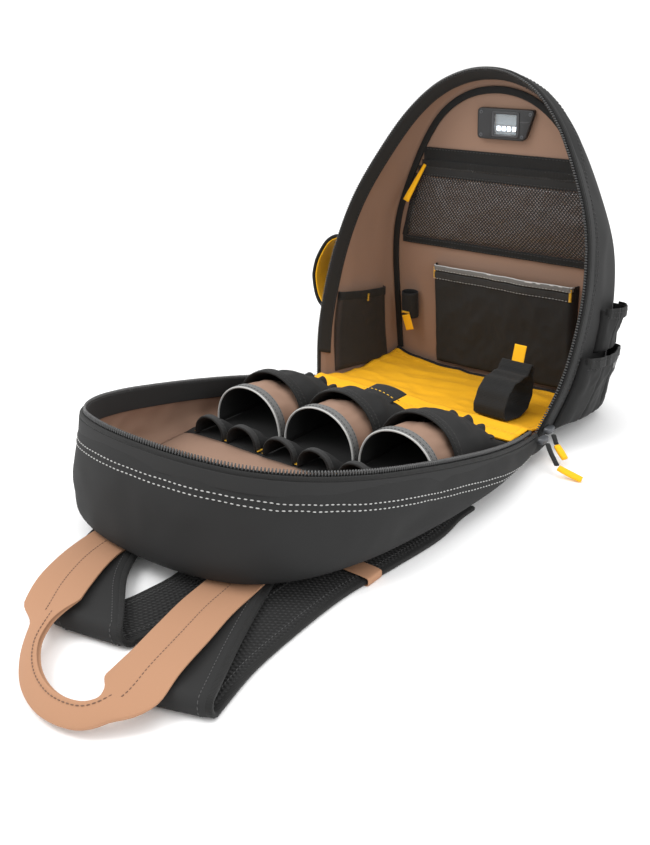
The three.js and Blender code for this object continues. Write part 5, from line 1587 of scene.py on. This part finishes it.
    def binding(self) -> None:
        """The black binding where the lining meets the side wall."""
        outer = inset(FRONT.outline(*FRONT_PANEL, FRONT_PANEL_SHARES), 3 + 3 + 0.6)
        middle = inset(outer, 4.5)
        coarse = FRONT.place_panel(middle, 3 + 0.3 + 2)[1:44]
        path = STANDING(smooth(coarse, 4))
        inner = STANDING(smooth(FRONT.place_panel(inset(outer, 9), 5.3)[1:44], 4))
        self.wear(strip("lining_seam", path, inner - path, 9 * MM, 3.4 * MM, 0.45),
                  BLACK_EDGE, "lining_binding")

    def build(self) -> None:
        """Builds everything on the lining."""
        self.binding()
        self.net()
        self.document()
        self.side_net()
        self.loops()


def on_side_wall(sign: int, along: Grid, height: Grid, depth: float) -> Grid:
    """Points on a side wall of the standing half, in its own frame.

    Args:
        sign: 1 for the right wall and -1 for the left.
        along: Share of the way from the rim to the panel.
        height: Height over the base in millimetres.
        depth: Distance in from the outside.

    Returns:
        The points in millimetres.
    """
    along, height = np.broadcast_arrays(np.asarray(along, float), np.asarray(height, float))
    rows = np.linspace(0, 1, 17)
    tables = [FRONT.loop(1 - r, 0, depth)[:22] for r in rows]
    xs = np.array([np.interp(height.ravel(), t[:, 2], t[:, 0]) for t in tables])
    ys = np.array([np.interp(height.ravel(), t[:, 2], t[:, 1]) for t in tables])
    at = along.ravel() * 16
    low = np.clip(at.astype(int), 0, 15)
    share, index = at - low, np.arange(at.size)
    x = xs[low, index] * (1 - share) + xs[low + 1, index] * share
    y = ys[low, index] * (1 - share) + ys[low + 1, index] * share
    return np.stack([sign * x.reshape(along.shape), y.reshape(along.shape), height], -1)


@dataclass(frozen=True)
class WallPocket:
    """An open pocket on a side wall of the standing half. Sizes are in millimetres."""

    sign: int
    face: int
    start: float
    end: float
    low: float
    high: float
    foot: float
    mouth: float
    wall: float

    def place(self, share: Grid, height: float, lift: float = 0.0) -> Grid:
        """Points on its outer face in metres: share runs from its rim end to its panel end."""
        share = np.asarray(share, float)
        level = (height - self.low) / (self.high - self.low)
        bulge = np.interp(share, (0, 0.25, 0.5, 0.75, 1), (0.45, 0.85, 1, 0.85, 0.45))
        ends = 1 - (1 - np.clip(np.minimum(share, 1 - share) / 0.05, 0, 1)) ** 2
        foot = 1 - (1 - min(1.0, max(0.0, level) / 0.07)) ** 2
        stand = (self.foot + (self.mouth - self.foot) * level) * bulge * ends * foot
        along = self.start + (self.end - self.start) * share
        p = on_side_wall(self.sign, along, np.full(share.shape, height), 0 if self.face > 0 else 3)
        p[..., 0] += self.sign * self.face * (0.95 + stand + self.wall * ends * foot + lift)
        return STANDING(p)


WALL_NET = WallPocket(-1, -1, 0.17, 0.84, 7.2, 112, 7.7, 11, 1.2)
LOWER_POCKET = WallPocket(1, 1, 0.16, 0.9, 6, 94, 10, 20, 2)
UPPER_POCKET = WallPocket(1, 1, 0.42, 0.92, 94.3, 146, 10.8, 18, 2)


class OutsidePockets(SubAssembly):
    """The front cover with its pocket, the side tool pockets and the sleeve on the left wall."""

    CROWN = ((0, 0), (0.5, 3), (0.84, 14), (1, 36))

    def crowned(self, name: str, outline: Grid, standing: float, depth: float, node: str,
                seed: float) -> None:
        """A soft crowned cover on the outside of the front panel, with piping round it.

        Args:
            name: The piece's name.
            outline: Its outline on the panel, in millimetres.
            standing: How far behind the panel it starts.
            depth: How far it stands out.
            node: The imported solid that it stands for.
            seed: Place in the fold pattern.
        """
        coarse = np.array([FRONT.fine(FRONT.place_panel(inset(outline, tuck + 0.9),
                                                        -(standing + behind * (depth - 0.9))))
                           for behind, tuck in self.CROWN])
        wall = smooth(coarse, 6)
        middle = wall[-1].mean(0)
        rings = np.array([middle + (wall[-1] - middle) * s for s in np.linspace(0.94, 0.06, 14)])
        grid = STANDING(np.concatenate([wall, rings]))
        normal = -normals_of(grid, True)
        rows = len(grid)
        fade = np.clip(np.arange(rows) / 6, 0, 1)[:, None] * np.clip((rows - np.arange(rows)) / 5, 0.2,
                                                                     1)[:, None]
        folds = layered(grid, Folds(0.0045, (0.11, 0.11, 0.12), seed, 0.25),
                        Folds(0.0014, (0.04, 0.04, 0.05), seed + 1, 0.6))
        grid = grid + normal * (folds * fade)[..., None]
        piece = thicken(grid_object(name, grid, ring=True, pole=True), 1.8 * MM)
        self.wear(piece, BLACK, node)
        self.wear(cord_tube(name + "_piping", grid[4, :221], 1.9 * MM), BLACK_EDGE)
        lines = [grid[8, :221] + normal[8, :221] * 0.0011]
        self.stitch(name + "_stitches", lines, [normal[8, :221]], BLACK_THREAD)

    def wall_pocket(self, name: str, pocket: WallPocket, node: str, seed: float) -> None:
        """A cloth pocket outside the right wall, with pleats, a hem and stitches."""
        share = np.linspace(0, 1, 71)
        heights = np.linspace(pocket.low, pocket.high, 36)
        grid = np.array([pocket.place(share, h) for h in heights])
        level = np.linspace(0, 1, 36)[:, None]
        pleat = np.zeros_like(share)
        for centre in (0.3, 0.7):
            pleat += np.exp(-((share - centre) / 0.02) ** 2)
        folds = layered(grid, Folds(0.0024, (0.05, 0.05, 0.06), seed, 0.4),
                        Folds(0.0008, (0.02, 0.02, 0.025), seed + 1, 0.6))
        weight = np.clip(np.minimum(share, 1 - share) / 0.08, 0, 1)[None, :] * np.clip(level / 0.12, 0, 1)
        grid = grid + ACROSS * ((folds - 0.0035 * pleat[None, :] * np.clip(1.2 - level, 0,
                                                                           1)) * weight)[..., None]
        cloth = thicken(grid_object(name, grid), 1.6 * MM)
        self.wear(cloth, BLACK, node)
        declare_sheet(cloth, grid)
        self.wear(strip(name + "_hem", grid[-3, 1:-1] + ACROSS * 0.0012, UPWARDS, 13 * MM, 1.5 * MM, 0.3),
                  BLACK_WEB)
        lines = [grid[row, 2:-2] + ACROSS * 0.0022 for row in (-2, -6)]
        self.stitch(name + "_stitches", lines, [ACROSS] * 2, DARK_GREY)

    def label(self) -> None:
        """The bare grey tab on the lower side pocket."""
        share = np.linspace(0.63 - 0.075, 0.63 + 0.075, 12)
        path = LOWER_POCKET.place(share, 81, 2.2)
        self.wear(strip("side_tab", path, UPWARDS, 13 * MM, 1.3 * MM, 0.25), GREY, "tool_pocket_label")

    def sleeve(self) -> None:
        """The flared sleeve on the left wall, yellow inside, with black bound edges."""
        a = np.linspace(0, math.pi, 45)
        across = np.linspace(-26, 26, 19)
        for name, stand, height, finish, node, thickness in (
            ("sleeve_cloth", 30, 100, BLACK, "left_sleeve", 1.8),
            ("sleeve_inside", 26.4, 92.8, YELLOW, "left_sleeve_lining", 0.9),
        ):
            base = on_side_wall(-1, np.full(45, 0.25), 142 - height / 2 * np.cos(a), 0)
            base[:, 0] -= 0.95 + thickness / 2 + stand * np.sin(a)
            grid = np.repeat(base[:, None, :], 19, axis=1)
            grid[..., 1] += across[None, :]
            grid = STANDING(grid)
            flare = np.sin(a)[:, None] * Folds(0.0016, (0.05, 0.04, 0.05), 91.0, 0.3).at(grid)
            grid[..., 0] -= flare
            cloth = thicken(grid_object(name, grid), thickness * MM)
            self.wear(cloth, finish, node)
            declare_sheet(cloth, grid)
            if name == "sleeve_cloth":
                for k, col in enumerate((0, -1)):
                    self.wear(cord_tube(f"sleeve_edge_{k + 1}", grid[:, col], 2.0 * MM), BLACK_EDGE)

    def build(self) -> None:
        """Builds everything outside the standing half."""
        panel = FRONT.outline(*FRONT_PANEL, FRONT_PANEL_SHARES)
        self.crowned("front_cover_cloth", inset(panel, 6), 0.3, 22, "front_cover", 101.0)
        pocket = FRONT.outline(132, 206, FRONT_POCKET_SHARES) + [0, 42]
        self.crowned("front_pocket_cloth", pocket, 22.6, 20, "front_pocket", 111.0)
        self.wall_pocket("lower_pocket_cloth", LOWER_POCKET, "tool_pocket_lower", 121.0)
        self.wall_pocket("upper_pocket_cloth", UPPER_POCKET, "tool_pocket_upper", 131.0)
        self.label()
        self.sleeve()


@dataclass(frozen=True)
class StrapRoute:
    """A shoulder strap's two runs on the floor, in millimetres."""

    name: str
    sign: int
    upper: Table
    lower: Table


RIGHT_STRAP = StrapRoute("right", 1, ((72, -392), (96, -450), (128, -520), (166, -592)),
                         ((166, -588), (154, -530), (147, -460), (145, -390), (152, -320), (157, -250),
                          (152, -205), (152, -176)))
LEFT_STRAP = StrapRoute("left", -1, ((-72, -392), (-58, -450), (-22, -512), (36, -570)),
                        ((44, -566), (60, -508), (56, -440), (-10, -378), (-94, -326), (-128, -250),
                         (-140, -205), (-140, -176)))
HANDLE = ((-56, -430, 0, 0, 0), (-50, -478, 0, 0, 0), (-36, -512, 4.5, 0, 0), (-12, -556, 8, .1, 0),
          (14, -594, 7, .6, 14), (36, -626, 1, 1, 38), (66, -648, -2, 1, 42), (102, -658, -2, 1, 42),
          (132, -652, 0, .9, 36), (146, -630, 6, .55, 16), (138, -590, 10, .15, 0), (124, -545, 8, 0, 0),
          (108, -500, 3.5, 0, 0), (98, -462, 0, 0, 0), (92, -430, 0, 0, 0))


class Harness(SubAssembly):
    """The shoulder straps, the haul handle, and the pads under the back panel."""

    WIDTH, THICK, FOLD = 62.0, 6.4, 16.0
    LOW, HIGH, UNDER = 3.2, 9.9, 14.7

    def route(self, strap: StrapRoute) -> tuple[Grid, Grid, Grid]:
        """Centre line, width direction and width of a strap along its runs and its fold.

        Args:
            strap: The strap's runs.

        Returns:
            Centres in millimetres, unit directions and widths.
        """
        upper = np.array(strap.upper, float)
        share = np.clip(np.arange(4) / 3 * 2.2 - 1.2, 0, 1)
        high = np.column_stack([upper, self.HIGH + (self.FOLD - self.HIGH) * share])
        fine = smooth(high, 24)
        over = fine[np.linspace(0, len(fine) - 1, 37).astype(int)]
        end = over[-1]
        coarse = fine[np.linspace(0, len(fine) - 1, 10).astype(int)]
        going = unit((coarse[-1] - coarse[-2]) * [1, 1, 0])
        lower = np.array(strap.lower, float)
        coming = unit(np.array([lower[1, 0] - end[0], lower[1, 1] - end[1], 0]))
        crease = unit(going + coming)
        drift = float(going @ crease)
        away = unit(going - crease * drift)
        radius = (end[2] - self.LOW) / 2

        def turn(t: float) -> Grid:
            """A point of the fold, from the upper run at 0 to the lower run at 1."""
            p = end + crease * drift * radius * t * math.pi + away * radius * math.sin(t * math.pi)
            p[2] = self.LOW + radius + radius * math.cos(t * math.pi)
            return p

        fold = np.array([turn((i + 1) / 24) for i in range(23)])
        low = np.column_stack([lower, np.full(len(lower), self.LOW)])
        low[0] = turn(1.0)
        under = smooth(low, 12)
        path = np.concatenate([over, fold, under])
        before, after = np.roll(path, 1, 0), np.roll(path, -1, 0)
        before[0], after[-1] = path[0], path[-1]
        square = unit(np.stack([before[:, 1] - after[:, 1], after[:, 0] - before[:, 0],
                                np.zeros(len(path))], -1))
        square *= np.where(square @ crease < 0, -1, 1)[:, None]
        index = np.arange(len(path))
        beyond = np.maximum(np.maximum(36 - index, index - 36 - 24), 0)
        skew = np.clip(1 - beyond / 9, 0, 1)
        side = unit(square + (crease - square) * skew[:, None])
        slant = float(np.linalg.norm(np.cross(going, crease)))
        cover = np.where(skew < 1, np.sum(side * square, -1), slant)
        return path, side, self.WIDTH / cover

    def strap(self, strap: StrapRoute) -> None:
        """A strap with its bound edges, its seams, its adjuster and its webbing."""
        path, side, width = self.route(strap)
        label = strap.name
        at = lying(path)
        along = unit(np.gradient(path, axis=0))
        up = unit(np.cross(along, side))
        body = strip(f"strap_body_{label}", at, side, (width - 6) * MM, self.THICK * MM, 0.42, skewed=True)
        sides = len(tube_section(1, 1, 0.42))
        rows = len(path) - 1
        smooth_side = up[0, 2] > 0
        body.data.materials.append((BLACK if smooth_side else MESH).material())
        body.data.materials.append((MESH if smooth_side else BLACK).material())
        index = [0 if k < sides // 2 else 1 for _ in range(rows) for k in range(sides)] + [0, 0]
        body.data.polygons.foreach_set("material_index", index)
        self.wear(body, BLACK, f"shoulder_strap_{label}")
        for sign in (-1, 1):
            edge = "in" if sign < 0 else "out"
            rail = at + side * (sign * (width / 2 - 4.6) * MM)[:, None]
            self.wear(strip(f"strap_binding_{label}_{edge}", rail, side, 9.2 * MM, 5.0 * MM, 0.5,
                            skewed=True),
                      BLACK_EDGE)
            for face in (-1, 1):
                line = at + side * (sign * (width / 2 - 11.2) * MM)[:, None] + up * face * 3.25 * MM
                word = "top" if face > 0 else "foot"
                self.stitch(f"strap_seam_{label}_{edge}_{word}", [line], [up * face],
                                replace(GREY_THREAD, name="dim_thread", colour=grey(0.03),
                                        worn_and_highlight=grey(0.09)))
        end = np.array(strap.lower[-1], float)
        x = end[0] + strap.sign * 2
        self.adjuster(label, x, end[1] + 15 + 1.2)
        start = end[1] + 30 + 1.8
        shares = np.array([0, 0.35, 0.75, 1])
        heights = np.array([2, 2, 9.6, 16 - 0.6 - 1.8])
        web = np.stack([np.full(4, x), start + (-21.5 - start) * shares, heights], -1)
        line = lying(smooth(web, 8))
        self.wear(strip(f"strap_web_{label}", line, ACROSS, 24 * MM, 1.7 * MM, 0.2),
                  BLACK_WEB, f"strap_webbing_{label}")

    def adjuster(self, label: str, x: float, y: float) -> None:
        """A ladder buckle: a frame with two slots."""
        bars = [(0, -13, 36, 4), (0, 13, 36, 4), (0, -1, 28, 5), (-16, 0, 4, 24), (16, 0, 4, 24)]
        points, faces = [], []
        for bx, by, w, h in bars:
            start = len(points)
            for z in (0.4, 3.7):
                points += [(x + bx + sx * w / 2, y + by + sy * h / 2, z) for sx,
                           sy in ((-1, -1), (1, -1), (1, 1), (-1, 1))]
            faces += [tuple(start + i for i in face) for face in BOX_FACES]
        piece = mesh_object(f"buckle_{label}", lying(np.array(points)), faces,
                            np.zeros((len(faces) * 4, 2)))
        bevel = piece.modifiers.new("edges", "BEVEL")
        bevel.width, bevel.segments = 0.7 * MM, 2
        self.wear(piece, PLASTIC, f"strap_adjuster_{label}")

    def handle(self) -> None:
        """The haul handle: two flat legs of ribbed webbing that gather into a folded grip."""
        line = smooth(np.array(HANDLE, float), 9)
        points = np.column_stack([line[:, :2], self.UNDER + line[:, 2]])
        before, after = np.roll(points, 1, 0), np.roll(points, -1, 0)
        before[0], after[-1] = points[0], points[-1]
        along = unit(after - before)
        flat = unit(np.stack([-along[:, 1], along[:, 0], np.zeros(len(line))], -1))
        roll = (line[:, 4] * DEG)[:, None]
        side = unit(flat * np.cos(roll) + np.cross(along, flat) * np.sin(roll))
        up = unit(np.cross(along, side))
        pinch = np.clip((line[:, 3] - 0.35) / 0.4, 0, 1)
        gather = pinch * pinch * (3 - 2 * pinch)
        width, thick = 50 + (21 - 50) * gather, 2 + (6 - 2) * gather
        at = lying(points)
        count = 28
        rows = []
        for i in range(len(line)):
            a = np.linspace(0, 2 * math.pi, count, endpoint=False)
            c, s = np.cos(a), np.sin(a)
            square = 0.16 + 0.25 * gather[i]
            x = np.sign(c) * np.abs(c) ** square * width[i] / 2
            z = np.sign(s) * np.abs(s) ** square * thick[i] / 2
            slit = gather[i] * np.exp(-((z / 1.0) ** 2)) * np.clip(x / width[i] * 2, 0, 1) ** 6
            x = x - slit * 6.5
            across = x / width[i]
            bow = (1 - gather[i]) * 0.9 * np.cos(across * math.pi) + gather[i] * 0.5 * np.cos(across * 6.3)
            rows.append(at[i] + (x[:, None] * side[i] + (z + bow)[:, None] * up[i]) * MM)
        grid = np.array(rows)
        far = np.concatenate([[0], np.cumsum(np.linalg.norm(np.diff(at, axis=0), axis=1))])
        faces, uvs = [], []
        for i in range(len(rows) - 1):
            for k in range(count):
                m = (k + 1) % count
                faces.append((i * count + k, i * count + m, (i + 1) * count + m, (i + 1) * count + k))
                u0, u1 = (math.cos(2 * math.pi * t / count) * 0.025 for t in (k, k + 1))
                uvs += [(u0, far[i]), (u1, far[i]), (u1, far[i + 1]), (u0, far[i + 1])]
        for start, order in ((0, -1), ((len(rows) - 1) * count, 1)):
            faces.append(tuple(start + k for k in range(count))[::order])
            uvs += [(0.0, 0.0)] * count
        piece = mesh_object("handle_web", grid, faces, np.array(uvs))
        turn_out(piece)
        self.wear(piece, WEBBING, "haul_handle")
        flat_part = [i for i in range(len(line)) if gather[i] < 0.5]
        halves = [[i for i in flat_part if i < len(line) // 2],
                  [i for i in flat_part if i > len(line) // 2]]
        lines, leans = [], []
        for half in halves:
            for face in (-1, 1):
                bow = 0.95 if face > 0 else -0.6
                lines.append(at[half] + up[half] * ((thick[half] / 2 + bow) * face * MM)[:, None])
                leans.append(up[half] * face)
        self.stitch("handle_seam", lines, leans, BROWN_THREAD, SEAM)
        tight = [i for i in range(len(line)) if gather[i] > 0.6]
        lines, leans = [], []
        for face in (-1, 1):
            lift = (face * (thick[tight] / 2 + 0.2) * MM)[:, None]
            lines.append(at[tight] + side[tight] * 0.0062 + up[tight] * lift)
            leans.append(up[tight] * face)
        self.stitch("grip_seam", lines, leans, BROWN_THREAD, SEAM)

    def patch(self) -> None:
        """The tan patch sewn round the right strap."""
        x, y = (145 + 152) / 2, (-390 - 320) / 2
        half_width, half_thick = 32.2, 4.4
        section = tube_section(2 * half_width, 2 * half_thick, 0.3, 48)
        path = lying(np.stack([x + section[:, 0], np.full(48, y), self.LOW + 1.0 + section[:, 1]], -1))
        self.wear(strip("patch_web", path, [0, 1, 0], 22 * MM, 1.1 * MM, 0.3, ring=True),
                  WEBBING, "strap_patch")

    def pad(self, node: str) -> None:
        """A padded cushion under the back panel, filled by a short cloth simulation."""
        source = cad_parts[node]
        piece = bpy.data.objects.new(node + "_cushion", source.data.copy())
        bpy.context.scene.collection.objects.link(piece)
        piece.data.materials.clear()
        low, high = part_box(node)
        remesh = piece.modifiers.new("even", "REMESH")
        remesh.mode, remesh.voxel_size = "VOXEL", 0.0045
        self.settle(piece)
        points = np.empty(len(piece.data.vertices) * 3)
        piece.data.vertices.foreach_get("co", points)
        points = points.reshape(-1, 3)
        middle = (np.array(low) + np.array(high)) / 2
        points = middle + (points - middle) * 0.97
        piece.data.vertices.foreach_set("co", points.ravel())
        cloth = piece.modifiers.new("fill", "CLOTH")
        cloth.settings.use_pressure = True
        cloth.settings.uniform_pressure_force = 4
        cloth.settings.effector_weights.gravity = 0
        cloth.settings.quality = 5
        cloth.point_cache.frame_start, cloth.point_cache.frame_end = 1, 16
        for number in range(1, 17):
            bpy.context.scene.frame_set(number)
        self.settle(piece)
        bpy.context.scene.frame_set(1)
        moved = np.empty(points.size)
        piece.data.vertices.foreach_get("co", moved)
        moved = moved.reshape(-1, 3)
        step = moved - points
        far = np.linalg.norm(step, axis=1, keepdims=True)
        points = points + step * np.minimum(1, 0.003 / np.maximum(far, 1e-6))
        points = np.clip(points, np.array(low), np.array(high))
        piece.data.vertices.foreach_set("co", points.ravel())
        piece.data.polygons.foreach_set("use_smooth", [True] * len(piece.data.polygons))
        layer = piece.data.uv_layers.new(name="Cloth")
        loops = np.empty(len(piece.data.loops), int)
        piece.data.loops.foreach_get("vertex_index", loops)
        layer.data.foreach_set("uv", points[loops][:, :2].ravel())
        self.wear(piece, MESH, node)

    @staticmethod
    def settle(piece: Piece) -> None:
        """Turns an object's modifiers into its plain mesh."""
        graph = bpy.context.evaluated_depsgraph_get()
        graph.update()
        solid = bpy.data.meshes.new_from_object(piece.evaluated_get(graph))
        piece.modifiers.clear()
        piece.data = solid

    def build(self) -> None:
        """Builds the straps, the handle, the patch and the pads."""
        self.strap(RIGHT_STRAP)
        self.strap(LEFT_STRAP)
        self.handle()
        self.patch()
        self.pad("back_pad")
        self.pad("lumbar_pad")


class ZipPulls(SubAssembly):
    """The two sliders at the hinge corner, with their cords and grips."""

    PLACES = ((179.8, -16, 26), (175.4, 8, 30))
    CORDS = (((188, -21, 25), (199, -33, 20), (212, -44, 13)), ((183.8, 3, 27), (192, -5, 20)))
    GRIPS = (((214.4, -45, 11), (228, -44, 7), (242, -42, 3)), ((193, -6, 18.9), (208, -14, 9)))

    def build(self) -> None:
        """Builds each slider, its cord and its grip."""
        for k, (place, cord, grip) in enumerate(zip(self.PLACES, self.CORDS, self.GRIPS)):
            number = k + 1
            centre = np.array(place, float)
            rows = np.linspace(-7.5, 7.5, 13)
            wide = 5 - 1.5 * np.abs(rows / 7.5) ** 3
            path = lying(centre + np.stack([np.zeros(13), rows, np.zeros(13)], -1))
            self.wear(strip(f"slider_body_{number}", path, ACROSS, 2 * wide * MM, 7 * MM, 0.5),
                      METAL, f"zip_slider_{number}")
            side = np.array([0.5, 0.86, 0])
            line = lying(smooth(np.array(cord, float), 10))
            self.wear(strip(f"pull_cord_{number}", line, side, 6 * MM, 2.6 * MM, 0.7),
                      BLACK_WEB, f"zip_pull_{number}", slot="zip_tape")
            held = lying(smooth(np.array(grip, float), 10))
            width = 9 * (0.86 + 0.14 * np.sin(np.linspace(0, math.pi, len(held))))
            self.wear(strip(f"pull_grip_{number}", held, side, width * MM, 4.2 * MM, 0.55),
                      YELLOW, f"zip_grip_{number}")


class Studio:
    """A pale floor, soft light and the photo's camera."""

    PLACE = (0.61046, -0.77948, 0.48252)
    AZIMUTH, ELEVATION, LENS, SENSOR = 37.91, 22.53, 41.85, 36
    PAPER, SKY, FLOOR_HALF = 0.97, 1.12, 30
    AIM = (0, 0, 0.12)
    LAMPS = (("key", (-0.9, -1.1, 1.9), 1.2, 24), ("side", (1.9, -0.3, 1.1), 1.0, 9),
             ("top", (0.1, 0.5, 2.2), 1.4, 10))

    def light(self, name: str, place: tuple[float, float, float], size: float, power: float) -> None:
        """A soft square light aimed at the bag."""
        data = bpy.data.lights.new(name, "AREA")
        data.size, data.energy = size, power
        lamp = bpy.data.objects.new(name, data)
        lamp.location = place
        aim = Vector(self.AIM) - Vector(place)
        lamp.rotation_euler = aim.to_track_quat("-Z", "Y").to_euler()
        bpy.context.scene.collection.objects.link(lamp)

    def build(self) -> None:
        """Builds the floor, the lights, the world and the camera."""
        corners = np.array([(-1, -1, 0), (1, -1, 0), (1, 1, 0), (-1, 1, 0)], float) * self.FLOOR_HALF
        floor = mesh_object("studio_floor", corners, [(0, 1, 2, 3)], None)
        board = NodeBoard("pale_floor")
        board.finish(Base_Color=rgba(grey(self.PAPER)), Roughness=0.9, Specular_IOR_Level=0.1)
        floor.data.materials.append(board.material)
        world = bpy.data.worlds.new("studio")
        world.use_nodes = True
        sky = world.node_tree.nodes["Background"]
        sky.inputs[0].default_value = (1, 1, 1, 1)
        sky.inputs[1].default_value = self.SKY
        bpy.context.scene.world = world
        for lamp in self.LAMPS:
            self.light(*lamp)
        data = bpy.data.cameras.new("camera")
        data.lens, data.sensor_width = self.LENS, self.SENSOR
        camera = bpy.data.objects.new("camera", data)
        a, e = self.AZIMUTH * DEG, self.ELEVATION * DEG
        ahead = Vector((-math.sin(a) * math.cos(e), math.cos(a) * math.cos(e), -math.sin(e)))
        camera.location = self.PLACE
        camera.rotation_euler = ahead.to_track_quat("-Z", "Y").to_euler()
        bpy.context.scene.collection.objects.link(camera)
        bpy.context.scene.camera = camera
        bpy.context.scene.view_settings.view_transform = "Standard"


def main() -> None:
    """Builds every sub-assembly in order, then the studio."""
    logging.basicConfig(level=logging.INFO, format="%(name)s %(message)s")
    bag = Bag()
    for part in (Halves, ToolPockets, Floor, LiningPockets, WorkLight, OutsidePockets, Harness, ZipPulls):
        LOG.info("building %s", part.__name__)
        part(bag).build()
    Studio().build()
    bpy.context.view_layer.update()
    LOG.info("%d pieces", bag.count)


if __name__ == "__main__":
    main()
